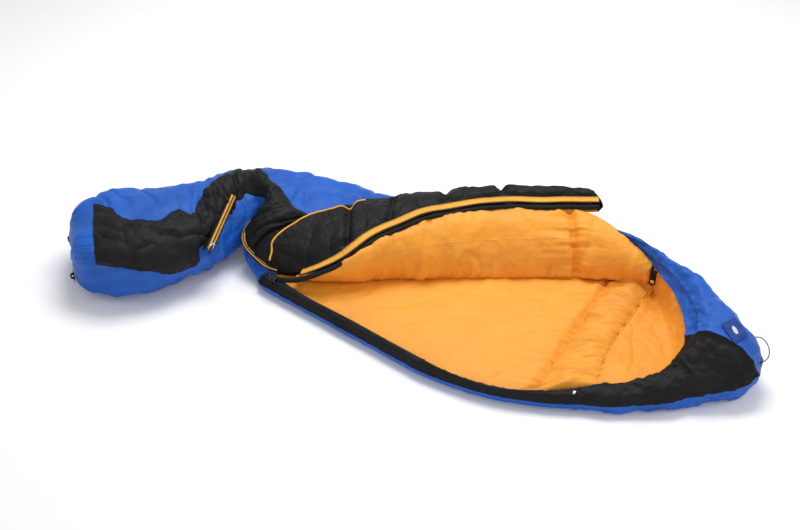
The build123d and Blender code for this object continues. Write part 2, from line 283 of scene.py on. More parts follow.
def tube(name, path, radius, material, body, slot, replaces=(), sides=10, squash=1.0, **more):
    points = tube_points(path, radius, sides, squash)
    rows = len(points)
    vertices = list(world(points).reshape(-1, 3)) + [world(path[0]), world(path[-1])]
    faces = [tuple(f) for f in grid_faces(rows, sides, wrap_v=True)]
    for k in range(sides):
        faces.append((rows * sides, (k + 1) % sides, k))
        base = (rows - 1) * sides
        faces.append((rows * sides + 1, base + k, base + (k + 1) % sides))
    return make_piece(name, vertices, faces, material, body, slot, replaces, **more)


# ---- materials -----------------------------------------------------------------------------------
def feed(tree, socket, value):
    """Sets a socket to a value, or links it to another node's output."""
    if isinstance(value, bpy.types.NodeSocket):
        tree.links.new(value, socket)
    else:
        socket.default_value = value


def node(tree, kind, **inputs):
    made = tree.nodes.new(kind)
    for key, value in inputs.items():
        feed(tree, made.inputs[key.replace("_", " ")], value)
    return made


def calculate(tree, operation, *values):
    made = tree.nodes.new("ShaderNodeMath")
    made.operation = operation
    for socket, value in zip(made.inputs, values):
        feed(tree, socket, value)
    return made.outputs[0]


def stripes(tree, place, scale):
    """Waves in X and in Y."""
    made = [node(tree, "ShaderNodeTexWave", Vector=place, Scale=scale) for direction in "XY"]
    for wave, direction in zip(made, "XY"):
        wave.bands_direction = direction
    return [wave.outputs["Fac"] for wave in made]


def shade(tree, factor, dark, light, low=0.0, high=1.0):
    """Colour from dark at low to light at high."""
    ramp = node(tree, "ShaderNodeValToRGB", Fac=factor)
    for element, position, colour in zip(ramp.color_ramp.elements, (low, high), (dark, light)):
        element.position, element.color = position, (*colour, 1)
    return ramp.outputs["Color"]


def bump(tree, height, strength, distance, before=None):
    made = node(tree, "ShaderNodeBump", Height=height, Strength=strength, Distance=distance)
    if before is not None:
        feed(tree, made.inputs["Normal"], before)
    return made.outputs["Normal"]


def new_material(name):
    """A principled material with its tree, its shader and a socket with object coordinates."""
    material = bpy.data.materials.new(name)
    material.use_nodes = True
    tree = material.node_tree
    place = tree.nodes.new("ShaderNodeTexCoord").outputs["Object"]
    return material, tree, tree.nodes["Principled BSDF"], place


def set_shader(tree, shader, factor, smoothest, roughest, **inputs):
    """Roughness that follows factor, and the shader's other inputs."""
    rough = node(tree, "ShaderNodeMapRange", Value=factor, To_Min=smoothest, To_Max=roughest)
    inputs["Roughness"] = rough.outputs["Result"]
    for key, value in inputs.items():
        feed(tree, shader.inputs[key.replace("_", " ")], value)


def cloth_material(name, colour, tint=0.12, roughness=0.5, sheen=0.3, weave=900.0, weave_depth=0.25,
                   crinkle=0.35, crinkle_size=60.0, ripstop=0.0, specular=0.35):
    """Woven cloth: uneven dye, thread-scale weave, ripstop grid and fine crinkles in the bump."""
    material, tree, shader, place = new_material(name)
    blotch, fine = (node(tree, "ShaderNodeTexNoise", Vector=place, Scale=scale, Detail=detail,
                         Roughness=0.6).outputs["Fac"] for scale, detail in ((7.0, 5.0), (230.0, 3.0)))
    dark = [c * (1 - tint) for c in colour]
    light = [min(1.0, c * (1 + tint) + 0.004) for c in colour]
    dye = shade(tree, calculate(tree, "MULTIPLY_ADD", fine, 0.45, blotch), dark, light, 0.45, 0.95)
    threads = calculate(tree, "MULTIPLY", *stripes(tree, place, weave))
    wrinkle = node(tree, "ShaderNodeTexNoise", Vector=place, Scale=crinkle_size, Detail=4.0,
                   Roughness=0.55, Distortion=0.6)
    relief = bump(tree, threads, weave_depth, 0.0004)
    relief = bump(tree, wrinkle.outputs["Fac"], crinkle, 0.004, relief)
    if ripstop:
        grids = [calculate(tree, "POWER", grid, 14.0) for grid in stripes(tree, place, 62.0)]
        relief = bump(tree, calculate(tree, "MAXIMUM", *grids), ripstop, 0.0006, relief)
    set_shader(tree, shader, blotch, roughness - 0.07, roughness + 0.1, Base_Color=dye, Normal=relief,
               Sheen_Weight=sheen, Sheen_Roughness=0.4, Specular_IOR_Level=specular)
    return material


def hard_material(name, colour, metallic=0.0, roughness=0.4, grain=180.0, depth=0.15):
    """Moulded plastic or plated metal with slight wear in its gloss and surface."""
    material, tree, shader, place = new_material(name)
    wear = node(tree, "ShaderNodeTexNoise", Vector=place, Scale=grain, Detail=5.0,
                Roughness=0.65).outputs["Fac"]
    finish = shade(tree, wear, [c * 0.8 for c in colour], [min(1, c * 1.12) for c in colour])
    set_shader(tree, shader, wear, max(0.05, roughness - 0.12), roughness + 0.15, Base_Color=finish,
               Metallic=metallic, Normal=bump(tree, wear, depth, 0.0003))
    return material


BLUE = cloth_material("blue_ripstop", (0.006, 0.092, 0.45), tint=0.24, roughness=0.46, sheen=0.0,
                      specular=0.28, ripstop=0.35, crinkle=0.45)
BLACK = cloth_material("black_nylon", (0.006, 0.006, 0.007), tint=0.3, roughness=0.52, sheen=0.0,
                       crinkle=0.55, specular=0.16)
PATCH_BLUE = cloth_material("patch_blue", (0.004, 0.045, 0.26), tint=0.15, roughness=0.6, sheen=0.0,
                            crinkle=0.2)
ORANGE = cloth_material("orange_lining", (0.84, 0.33, 0.028), tint=0.08, roughness=0.52, sheen=0.06,
                        weave=1100, crinkle=0.3, crinkle_size=42.0)
YELLOW_TAPE = cloth_material("yellow_zip_tape", (0.83, 0.38, 0.035), tint=0.12, roughness=0.7, sheen=0.03,
                             weave=1600, weave_depth=0.6, crinkle=0.15)
BLACK_TRIM = cloth_material("black_trim", (0.007, 0.007, 0.008), tint=0.3, roughness=0.7, sheen=0.03,
                            specular=0.2, weave=1300, weave_depth=0.5, crinkle=0.3)
GREY_TRIM = cloth_material("grey_hook_loop", (0.14, 0.14, 0.15), tint=0.25, roughness=0.9, sheen=0.4,
                           weave=700, weave_depth=0.8, crinkle=0.2)
REFLECTIVE = cloth_material("reflective_print", (0.62, 0.64, 0.66), tint=0.1, roughness=0.35, sheen=0.0,
                            crinkle=0.2)
BLACK_PLASTIC = hard_material("black_plastic", (0.012, 0.012, 0.013), roughness=0.38)
COIL = hard_material("zip_coil_nylon", (0.01, 0.01, 0.011), roughness=0.32)
NICKEL = hard_material("nickel", (0.66, 0.66, 0.65), metallic=1.0, roughness=0.28)
BRASS = hard_material("pale_brass", (0.72, 0.62, 0.42), metallic=1.0, roughness=0.3)
THREAD = cloth_material("thread", (0.03, 0.03, 0.035), roughness=0.8, sheen=0.1)


# ---- shape tools for soft pieces -----------------------------------------------------------------
def sections(controls, count):
    """Catmull-Rom across: controls (rows, points, 3) to a grid (rows, count, 3)."""
    c = np.concatenate([2 * controls[:, :1] - controls[:, 1:2], controls,
                        2 * controls[:, -1:] - controls[:, -2:-1]], 1)
    spans = controls.shape[1] - 1
    t = np.linspace(0, spans, count)
    k = np.minimum(t.astype(int), spans - 1)
    f = (t - k)[None, :, None]
    a, b, d, e = (c[:, k + i] for i in range(4))
    return 0.5 * (2 * b + (d - a) * f + (2 * a - 5 * b + 4 * d - e) * f ** 2
                  + (3 * b - a - 3 * d + e) * f ** 3)


def between(a, b, t):
    return a + (b - a) * t


def with_z(points, z):
    return np.concatenate([points[..., :2], np.broadcast_to(z, points.shape[:-1])[..., None]], -1)


def steps(count):
    return np.linspace(0, 1, count)


def gathers(along, across, pitch, reach, seed):
    """Puckers that run away from a seam: along and across it in metres, dying out over reach."""
    p = np.stack([along / pitch, across / (reach * 2.2) + along * 0, 0 * along], -1)
    return (noise(p, seed) + 0.5 * noise(p * [2.1, 1, 1], seed + 3)) * np.exp(-np.abs(across) / reach)


def lengths(points, axis=0):
    """Distance run along a grid's axis, in metres."""
    step = np.linalg.norm(np.diff(points, axis=axis), axis=-1)
    first = np.zeros_like(np.take(step, [0], axis))
    return np.cumsum(np.concatenate([first, step], axis), axis)


def soft(points, puff=0.006, size=0.09, fine=0.0015, seed=1, crease=0.0, wrap_v=False):
    """Loft, wrinkles and fold lines on top of a smooth shape."""
    height = puff * layers(points, size, 3, seed) + fine * layers(points, size / 4, 2, seed + 7)
    if crease:
        height = height - crease * creases(points + 0.02 * layers(points, 0.1, 1, seed + 5)[..., None],
                                           size * 1.3, seed + 11)
    return raised(points, height, wrap_v=wrap_v)


def groove(distance, depth=0.004, width=0.009):
    """The dip that a row of stitching pulls into a lofty quilt."""
    return -depth * np.exp(-(distance / width) ** 2)


def ribbon(name, left, right, thickness, material, body, slot, replaces=(), across=5, **more):
    points = between(np.array(left)[:, None], np.array(right)[:, None],
                     np.linspace(0, 1, across)[None, :, None])
    return surface(name, points, material, body, slot, replaces, back=cloth_shell(points, thickness),
                   **more)


def stitch_row(name, path, up, material, body, slot, stitch=0.0032, gap=0.0016, width=0.0009):
    """A row of separate thread stitches lying on a seam."""
    total = np.linalg.norm(np.diff(path, axis=0), axis=1).sum()
    count = int(total / (stitch + gap))
    line = resample(np.asarray(path), count * 3 + 1)
    a, b = line[0:-1:3], line[2::3]
    b = b[:len(a)]
    a = a[:len(b)]
    along = unit(b - a)
    up = unit(np.broadcast_to(up, a.shape))
    side = unit(np.cross(along, up)) * width / 2
    rise = up * width * 0.6
    corners = [a - side, b - side, b + side, a + side,
               a - side + rise, b - side + rise, b + side + rise, a + side + rise]
    vertices = world(np.stack(corners, 1).reshape(-1, 3))
    quads = np.array([[0, 3, 2, 1], [4, 5, 6, 7], [0, 1, 5, 4], [1, 2, 6, 5], [2, 3, 7, 6], [3, 0, 4, 7]])
    faces = (np.arange(len(a))[:, None, None] * 8 + quads[None]).reshape(-1, 4)
    return make_piece(name, vertices, faces, material, body, slot, merge=0, smooth_faces=False)


def coil_path(path, pitch=0.0034, base=0.0024, swing=0.0007):
    """Fine points and radii that read as the ribs of a zip coil."""
    total = np.linalg.norm(np.diff(path, axis=0), axis=1).sum()
    line = resample(path, int(total / pitch * 4))
    radius = base + swing * np.sin(np.arange(len(line)) * math.pi / 2)
    return line, radius


# ---- guide curves --------------------------------------------------------------------------------
bag_outline = rounded([((0, 0), 0.012), ((0.8, -0.168), 0.8), ((1.225, -0.005), 0.5), ((1.49, 0.2), 0.07),
                       ((1.495, 0.29), 0.06), ((1.3, 0.44), 0.4), ((1.05, 0.56), 0.5),
                       ((0.6, 0.598), 0.9), ((-0.1, 0.5), 0.3), ((-0.24, 0.44), 0.06),
                       ((-0.19, 0.19), 0.03)])
bag_outline = resample(np.vstack([bag_outline, bag_outline[:1]]), 1600)


def on_outline(points):
    """Nearest outline points, with the direction out of the bag there."""
    points = np.asarray(points, float)[:, :2]
    nearest = np.argmin(((points[:, None] - bag_outline[None]) ** 2).sum(-1), 1)
    ahead = bag_outline[(nearest + 3) % len(bag_outline)] - bag_outline[nearest - 3]
    outward = unit(np.stack([ahead[:, 1], -ahead[:, 0]], -1))
    flat = np.zeros((len(points), 1))
    return np.hstack([bag_outline[nearest], flat]), np.hstack([outward, flat])


# the edge of the opening, from the zip's lower end along the near side, round the hood, to the far neck
opening_edge = [(0.012, 0.024, 0.052), (0.157, -0.020, 0.050), (0.355, -0.060, 0.050),
                (0.547, -0.102, 0.050), (0.73, -0.134, 0.050), (0.88, -0.125, 0.051),
                (0.981, -0.088, 0.053), (1.065, -0.035, 0.056), (1.149, 0.022, 0.062),
                (1.223, 0.072, 0.072), (1.276, 0.134, 0.086), (1.303, 0.18, 0.105),
                (1.316, 0.224, 0.125), (1.306, 0.267, 0.142), (1.284, 0.318, 0.152),
                (1.23, 0.391, 0.160), (1.177, 0.444, 0.162), (1.12, 0.505, 0.150), (1.05, 0.548, 0.150),
                (0.965, 0.568, 0.148)]
edge_floor = [(0.0, 0.0), (0.15, -0.032), (0.345, -0.073), (0.547, -0.112), (0.745, -0.15),
              (0.905, -0.13), (1.02, -0.085), (1.11, -0.045), (1.22, 0.005), (1.31, 0.065), (1.39, 0.12),
              (1.445, 0.165), (1.480, 0.205), (1.494, 0.25), (1.475, 0.30), (1.38, 0.375), (1.27, 0.445),
              (1.16, 0.51), (1.06, 0.552), (0.965, 0.578)]
EDGE_COUNT = 520
edge, floor_line = matched(opening_edge, edge_floor, EDGE_COUNT)
floor_line, floor_out = on_outline(floor_line)
floor_line = floor_line.copy()
relax(floor_line, 12)
for _ in range(12):
    floor_out = unit(floor_out + np.roll(floor_out, 1, 0) * 0.5 + np.roll(floor_out, -1, 0) * 0.5)
edge_run = lengths(edge[:, None])[:, 0]


def edge_index(x, y):
    return int(np.argmin((edge[:, 0] - x) ** 2 + (edge[:, 1] - y) ** 2))


# ---- wall round the opening: band, hood panels and the lower shell's side ------------------------
rise = edge[:, 2:3]
lift = 0.006 + 0.40 * np.clip(rise - 0.06, 0, 1)
wall_controls = np.stack([
    with_z(between(edge, floor_line, -0.10), edge[:, 2] - 0.012),
    with_z(edge, edge[:, 2]),
    with_z(between(edge, floor_line, 0.30), (rise + lift)[:, 0]),
    with_z(between(edge, floor_line, 0.80) + 0.004 * floor_out, (rise * 0.94 + lift * 0.8)[:, 0]),
    with_z(floor_line + (0.007 + 0.20 * np.clip(rise - 0.06, 0, 1)) * floor_out,
           np.maximum(0.030, rise[:, 0] * 0.60)),
    with_z(floor_line + 0.006 * floor_out, 0.012),
    with_z(floor_line - 0.010 * floor_out, 0.0012)], 1)
WALL_COUNT = 150
wall = sections(wall_controls, WALL_COUNT)
SEAM_ROW = int(WALL_COUNT * 0.66)
hood_start = edge_index(1.02, -0.06)
hood_change = edge_index(1.31, 0.25)
run_u = np.broadcast_to(edge_run[:, None], wall.shape[:2])
run_v = lengths(wall, 1)
hoodness = smooth(run_u, edge_run[hood_start] - 0.1, edge_run[hood_start] + 0.15)
height = (0.0022 + 0.006 * hoodness) * layers(wall, (0.13, 0.09, 0.08), 3, 21)
height = height + (0.0012 + 0.002 * hoodness) * layers(wall, 0.028, 2, 31)
height = height - 0.0022 * hoodness * creases(wall + 0.03 * layers(wall, 0.12, 1, 3)[..., None], 0.15, 8)
slanted = (wall[..., 0] - 1.36) * 0.50 + (wall[..., 1] - 0.13) * 0.87
height = height + groove(slanted, 0.004, 0.006) * smooth(wall[..., 0], 1.26, 1.30) * (wall[..., 1] < 0.235)
from_seam = run_v - run_v[:, SEAM_ROW:SEAM_ROW + 1]
height = height + groove(from_seam, 0.004, 0.008)
height = height + 0.004 * gathers(run_u, from_seam, 0.022, 0.02, 41) * (0.35 + 0.65 * hoodness)
from_change = run_u - edge_run[hood_change]
height = height + groove(from_change, 0.005, 0.009) * (run_v < run_v[:, SEAM_ROW:SEAM_ROW + 1])
height = height + 0.005 * gathers(run_v, from_change, 0.024, 0.035, 44) * hoodness
hem_line = run_v - run_v[:, 36:37]
height = height + groove(hem_line, 0.0035, 0.006)
height = height + 0.003 * gathers(run_u, hem_line, 0.016, 0.02, 52)
height = height * smooth(steps(WALL_COUNT), 1, 0.93)[None]
wall = raised(wall, height)
wall[..., 2] = np.maximum(wall[..., 2], 0.001)

surface("wall_draft_band", wall[:hood_start + 1, :SEAM_ROW + 1], BLACK, "bag", "black_shell",
        ("lower_draft_band",))
surface("wall_hood_black", wall[hood_start:hood_change + 1, :SEAM_ROW + 1], BLACK, "bag", "black_shell",
        ("hood_lower_panel",))
surface("wall_hood_blue", wall[hood_change:, :SEAM_ROW + 1], BLUE, "bag", "royal_blue_shell",
        ("hood_upper_panel", "hood_hem"))
surface("wall_lower_blue", wall[:, SEAM_ROW:], BLUE, "bag", "royal_blue_shell", ("lower_shell", "lower_fill"))

# ---- lower lining, its collar and the hood's lining ----------------------------------------------
seam_a = edge_index(0.965, -0.1)
seam_b = edge_index(1.12, 0.0)
crease_line = curve([(0.0, 0.045, 0.056), (0.10, 0.075, 0.05), (0.2, 0.13, 0.048), (0.393, 0.235, 0.048),
                     (0.673, 0.385, 0.048), (0.899, 0.5, 0.048), (0.99, 0.53, 0.05)], seam_a + 1)
LINING_ACROSS = 230
inner_edge = edge - [0, 0, 0.010] + 0.004 * unit(edge - floor_line) * [1, 1, 0]
t = steps(LINING_ACROSS)[None, :, None]
lining = between(inner_edge[:seam_a + 1, None], crease_line[:, None], t)
u_run = lengths(lining, 0)
v_run = lengths(lining, 1)
room = np.minimum(v_run, v_run[:, -1:] - v_run)
body_height = (0.010 * smooth(room, 0, 0.09)
               + 0.0045 * layers(lining, (0.3, 0.16, 1), 2, 61) * smooth(room, 0, 0.1))
body_height = body_height + 0.0007 * layers(lining, (0.05, 0.05, 1), 3, 66)
slant = lining @ np.array([[0.8, -0.6, 0], [0.6, 0.8, 0], [0, 0, 1.0]])
body_height = body_height - 0.0022 * creases(slant, (0.34, 0.11, 1), 68, 0.06)
body_height = body_height + 0.0015 * creases(lining, (0.12, 0.30, 1), 71, 0.07)
body_height = body_height + 0.0022 * gathers(u_run, v_run, 0.03, 0.03, 72)
from_a = np.linalg.norm(lining - lining[-1:], axis=-1)
body_height = body_height + groove(from_a, 0.013, 0.016) + 0.008 * gathers(v_run, from_a, 0.035, 0.07, 74)
lining[..., 2] += body_height
surface("lining_lower", lining, ORANGE, "bag", "orange_lining", ("lower_lining",),
        back=cloth_shell(lining, 0.004))

collar_rows = seam_b - seam_a + 1
b_line = curve([tuple(inner_edge[seam_b]), (1.097, 0.16, 0.05), (1.10, 0.30, 0.05), (1.112, 0.42, 0.052),
                (1.125, 0.5, 0.065)], LINING_ACROSS)
a_line = lining[-1]
collar_near = inner_edge[seam_a:seam_b + 1]
w = steps(collar_rows)[:, None, None]
collar = between(a_line[None], b_line[None], w)
straight = between(collar_near[:1], collar_near[-1:], steps(collar_rows)[:, None])
collar = collar + (collar_near - straight)[:, None] * np.exp(-6 * t)
across_run = np.broadcast_to(lengths(b_line[:, None])[:, 0][None], collar.shape[:2])
profile = np.sin(math.pi * np.broadcast_to(steps(collar_rows)[:, None], collar.shape[:2])) ** 0.7
along_run = lengths(collar, 0)
pucker = np.stack([across_run / 0.045, along_run / 0.11, 0 * across_run], -1)
collar_height = profile * (0.026 + 0.014 * layers(pucker, 1, 2, 81))
collar_height = collar_height + 0.010 * gathers(across_run, along_run, 0.026, 0.04, 83)
collar_height = collar_height + 0.010 * gathers(across_run, along_run[-1:] - along_run, 0.026, 0.04, 84)
collar_height = collar_height * smooth(across_run, 0, 0.02)
collar[..., 2] += collar_height
surface("collar_lower", collar, ORANGE, "bag", "orange_lining", ("lower_collar",),
        back=cloth_shell(collar, 0.004))

for number, seam in enumerate((a_line, b_line)):
    seam_run = lengths(seam[:, None])[:, 0]
    bead = 0.0042 + 0.0016 * noise(np.stack([seam_run / 0.014, 0 * seam_run, 0 * seam_run], -1), 86 + number)
    tube(f"lining_seam_{number + 1}", seam[2:-2] - [0, 0, 0.002], bead[2:-2], ORANGE, "bag", "orange_lining")
rim = edge[seam_b:edge_index(1.115, 0.51)]
rim_rows = len(rim)
b_match = curve([tuple(b_line[0]), tuple(b_line[40]), tuple(b_line[110]), tuple(b_line[180]),
                 tuple(b_line[-1])], rim_rows)
rim_in = rim - [0, 0, 0.006]
HOOD_ACROSS = 150
hood_controls = np.stack([
    rim_in,
    with_z(between(rim_in, b_match, 0.05), rim[:, 2] * 0.86 - 0.002),
    with_z(between(rim_in, b_match, 0.11), 0.048 + (rim[:, 2] - 0.05) * 0.45),
    with_z(between(rim_in, b_match, 0.26), 0.051),
    with_z(between(rim_in, b_match, 0.6), 0.048),
    with_z(b_match, b_match[:, 2])], 1)
bowl = sections(hood_controls, HOOD_ACROSS)
bowl_v = lengths(bowl, 1)
bowl_height = 0.006 * layers(bowl, (0.11, 0.11, 0.09), 3, 91) + 0.001 * layers(bowl, 0.025, 2, 95)
bowl_height = bowl_height - 0.003 * creases(bowl + 0.03 * layers(bowl, 0.1, 1, 93)[..., None], 0.13, 97, 0.09)
rim_run = lengths(rim[:, None])
bowl_height = bowl_height + 0.008 * gathers(rim_run + 0 * bowl_v, bowl_v, 0.03, 0.06, 98)
bowl_height = bowl_height * smooth(bowl_v, 0, 0.02) * smooth(bowl_v[:, -1:] - bowl_v, 0, 0.02)
bowl = raised(bowl, bowl_height if grid_normals(bowl)[rim_rows // 2, 75, 2] > 0 else -bowl_height)
surface("lining_hood", bowl, ORANGE, "bag", "orange_lining", ("hood_lining", "hood_fill"),
        back=cloth_shell(bowl, 0.003))

# ---- closed upper quilt on the far side, with its side wall --------------------------------------
QUILT_ROWS = 420
quilt_in = curve([(1.03, 0.535, 0.10), (0.9, 0.49, 0.112), (0.673, 0.375, 0.114), (0.393, 0.235, 0.114),
                  (0.2, 0.145, 0.108), (0.06, 0.10, 0.105), (-0.06, 0.13, 0.125), (-0.12, 0.2, 0.145),
                  (-0.16, 0.27, 0.15)], QUILT_ROWS)
quilt_floor = curve([(1.05, 0.552, 0), (0.93, 0.575, 0), (0.70, 0.59, 0), (0.45, 0.58, 0), (0.2, 0.545, 0),
                     (0.0, 0.515, 0), (-0.12, 0.49, 0), (-0.2, 0.46, 0), (-0.24, 0.39, 0)], QUILT_ROWS)
quilt_floor, quilt_out = on_outline(quilt_floor)
relax(quilt_floor, 20)
for _ in range(20):
    quilt_out[1:-1] = unit(quilt_out[:-2] + 2 * quilt_out[1:-1] + quilt_out[2:])
top = curve([(0, 0.115, 0), (0.35, 0.118, 0), (0.6, 0.120, 0), (0.74, 0.128, 0), (0.86, 0.155, 0),
             (1, 0.16, 0)], QUILT_ROWS)[:, 1]
quilt_controls = np.stack([
    quilt_in,
    with_z(between(quilt_in, quilt_floor, 0.35), top),
    with_z(between(quilt_in, quilt_floor, 0.8), top),
    with_z(between(quilt_in, quilt_floor, 0.97), top * 0.86),
    with_z(quilt_floor + 0.010 * quilt_out, top * 0.52),
    with_z(quilt_floor + 0.009 * quilt_out, 0.022),
    with_z(quilt_floor - 0.008 * quilt_out, 0.0012)], 1)
quilt = sections(quilt_controls, 170)
QUILT_SEAM = 118
qu = lengths(quilt, 0)
qv = lengths(quilt, 1)
quilt_height = 0.007 * layers(quilt, (0.14, 0.10, 0.1), 3, 101) + 0.0012 * layers(quilt, 0.03, 2, 105)
quilt_bent = quilt + 0.03 * layers(quilt, 0.12, 1, 107)[..., None]
quilt_height = quilt_height - 0.005 * creases(quilt_bent, 0.17, 108, 0.08)
quilt_height = quilt_height + groove(qv - qv[:, QUILT_SEAM:QUILT_SEAM + 1], 0.005, 0.01)
quilt_height = quilt_height + 0.005 * gathers(qu, qv - qv[:, QUILT_SEAM:QUILT_SEAM + 1], 0.03, 0.035, 111)
row_seams = sum(groove(qu - at, 0.006, 0.012) for at in (0.32, 0.62, 0.92, 1.14))
quilt_height = (quilt_height + row_seams) * smooth(steps(170), 1, 0.95)[None]
flip = 1 if grid_normals(quilt)[200, 60, 2] > 0 else -1
quilt = raised(quilt, flip * quilt_height)
quilt[..., 2] = np.maximum(quilt[..., 2], 0.001)
surface("quilt_upper", quilt, BLUE, "bag", "royal_blue_shell",
        ("upper_shell", "upper_fill", "upper_lining", "side_baffle"))

# ---- foot section: tube, black panel, end panel --------------------------------------------------
stations = np.array([(-0.520, -0.153, 38, 0.172, 0.103), (-0.468, -0.116, 38, 0.196, 0.110),
                     (-0.398, -0.060, 42, 0.206, 0.113), (-0.318, 0.048, 54, 0.178, 0.112),
                     (-0.262, 0.170, 70, 0.130, 0.106), (-0.222, 0.288, 76, 0.124, 0.098),
                     (-0.160, 0.390, 62, 0.108, 0.084)])
FOOT_ROWS, FOOT_SIDES = 300, 260
line = curve(np.hstack([stations[:, :2], stations[:, :1] * 0]), FOOT_ROWS)
s_at = lengths(np.hstack([stations[:, :2], stations[:, :1] * 0])[:, None])[:, 0]
s_run = np.linspace(0, s_at[-1], FOOT_ROWS)
turn = np.radians(np.interp(s_run, s_at, stations[:, 2]))
half_width = np.interp(s_run, s_at, stations[:, 3])
half_height = np.interp(s_run, s_at, stations[:, 4])
for values in (half_width, half_height, turn):
    relax(values, 60)
right = np.stack([np.sin(turn), -np.cos(turn), 0 * turn], -1)
# angle 0 faces the near side, a quarter turn is up, half a turn is the far side
angle = np.linspace(0, 2 * math.pi, FOOT_SIDES, endpoint=False)
power = between(0.44, 0.84, smooth(s_run, 0, 0.24))[:, None]


def foot_grid(angles):
    c, s = np.cos(angles), np.sin(angles)
    x = np.sign(c) * np.abs(c) ** power
    x = np.where(s < 0, np.sign(c) * np.abs(c) ** 0.55, x)
    z = np.sign(s) * np.abs(s) ** power
    centre = with_z(line, half_height)
    return (centre[:, None] + right[:, None] * (half_width[:, None] * x)[..., None]
            + np.array([0, 0, 1.0]) * (half_height[:, None] * z)[..., None])


def foot_loft(points, seed=121):
    height = 0.008 * layers(points, (0.12, 0.12, 0.09), 3, seed) + 0.0014 * layers(points, 0.028, 2, seed + 5)
    height = height - 0.006 * creases(points + 0.03 * layers(points, 0.1, 1, seed + 2)[..., None], 0.14,
                                      seed + 8, 0.09)
    along = lengths(points, 0)
    around = lengths(points, 1)
    height = height + 0.006 * gathers(around, along, 0.028, 0.05, seed + 12)
    knee = np.exp(-((along - 0.38) / 0.10) ** 2)
    bands = np.stack([along / 0.035, around / 0.16, 0 * along], -1)
    return height + 0.009 * knee * noise(bands, seed + 15)


foot = foot_grid(np.broadcast_to(angle, (FOOT_ROWS, FOOT_SIDES)))
outward = foot - with_z(line, half_height)[:, None]
foot_normal = grid_normals(foot, wrap_v=True)
foot_side = np.sign((foot_normal * outward).sum(-1).mean())
foot = foot + foot_side * foot_normal * foot_loft(foot)[..., None]
foot[..., 2] = np.maximum(foot[..., 2], 0.001)
surface("foot_tube", foot, BLUE, "bag", "royal_blue_shell", ("foot_shell", "foot_fill", "foot_lining"),
        wrap_v=True)

ring = foot[0]
centre = ring.mean(0)
dome = []
back_way = -np.array([math.cos(turn[0]), math.sin(turn[0]), 0])
END_ROWS = 60
for r in np.linspace(1, 0.02, END_ROWS):
    dome.append(centre + (ring - centre) * r + back_way * 0.076 * max(0, 1 - r ** 4) ** 0.6)
dome = np.array(dome)
dome_run = lengths(dome, 0)
dome_height = 0.006 * layers(dome, 0.07, 3, 131)
spoke = np.broadcast_to(angle[None] * 0.14, dome.shape[:2])
dome_height = dome_height + 0.007 * gathers(spoke, dome_run, 0.022, 0.05, 133)
dome = dome + back_way * dome_height[..., None] * smooth(dome_run, 0, 0.012)[..., None]
surface("foot_end", dome, BLUE, "bag", "royal_blue_shell", ("foot_end_panel",), wrap_v=True)

# black panel on the foot section, a patch of the same tube lifted off it
PANEL_ROWS, PANEL_ACROSS = 260, 150
row_at = np.linspace(2, FOOT_ROWS - 84, PANEL_ROWS)
share = steps(PANEL_ROWS)
low_edge = np.radians(np.interp(share, [0, 0.17, 0.31, 0.46, 0.57, 0.64, 0.75, 1],
                                [11, 8, 4, -8, -13, 0, 10, 35]))
high_edge = np.radians(np.interp(share, [0, 0.07, 0.16, 0.29, 0.42, 0.49, 0.55, 0.60, 0.66, 0.85, 1],
                                 [102, 96, 90, 83, 71, 78, 79, 66, 66, 92, 106]))
# towards the knee the panel stops at the closed zip line
zip_start, zip_end = np.array([-0.143, -0.058, 0.152]), np.array([-0.190, 0.186, 0.226])
zip_line = between(zip_start, zip_end, steps(80)[:, None])
for number, row in enumerate(row_at.astype(int)):
    gaps = np.linalg.norm(foot[row][:, None] - zip_line[None], axis=-1).min(1)
    if gaps.min() < 0.045 and share[number] > 0.45:
        low_edge[number] = (angle[int(np.argmin(gaps))] + math.pi) % (2 * math.pi) - math.pi
relax(low_edge, 10)
panel_angles = between(low_edge[:, None], high_edge[:, None], steps(PANEL_ACROSS)[None])
column = (panel_angles / (2 * math.pi) * FOOT_SIDES) % FOOT_SIDES
c0 = np.floor(column).astype(int) % FOOT_SIDES
c1 = (c0 + 1) % FOOT_SIDES
fc = (column - np.floor(column))[..., None]
r0 = np.floor(row_at).astype(int)
fr = (row_at - r0)[:, None, None]
panel = (between(foot[r0[:, None], c0], foot[r0[:, None], c1], fc) * (1 - fr)
         + between(foot[r0[:, None] + 1, c0], foot[r0[:, None] + 1, c1], fc) * fr)
pu, pv = lengths(panel, 0), lengths(panel, 1)
rim_gap = np.minimum(np.minimum(pu, pu[-1:] - pu), np.minimum(pv, pv[:, -1:] - pv))
panel_lift = (0.0015 + 0.007 * smooth(rim_gap, 0, 0.03)
              + 0.004 * layers(panel, (0.07, 0.07, 0.06), 2, 141) * smooth(rim_gap, 0, 0.02))
panel_lift = panel_lift - 0.004 * (rim_gap < 0.002)
panel_lift = (panel_lift + 0.003 * gathers(pu, pv, 0.02, 0.03, 143)
              + 0.003 * gathers(pu, pv[:, -1:] - pv, 0.02, 0.03, 144))
panel_side = np.sign((grid_normals(panel) * (panel - panel.mean((0, 1)))).sum(-1).mean())
panel = raised(panel, panel_side * panel_lift)
surface("foot_black_panel", panel, BLACK, "bag", "black_shell", ("foot_top_panel",))

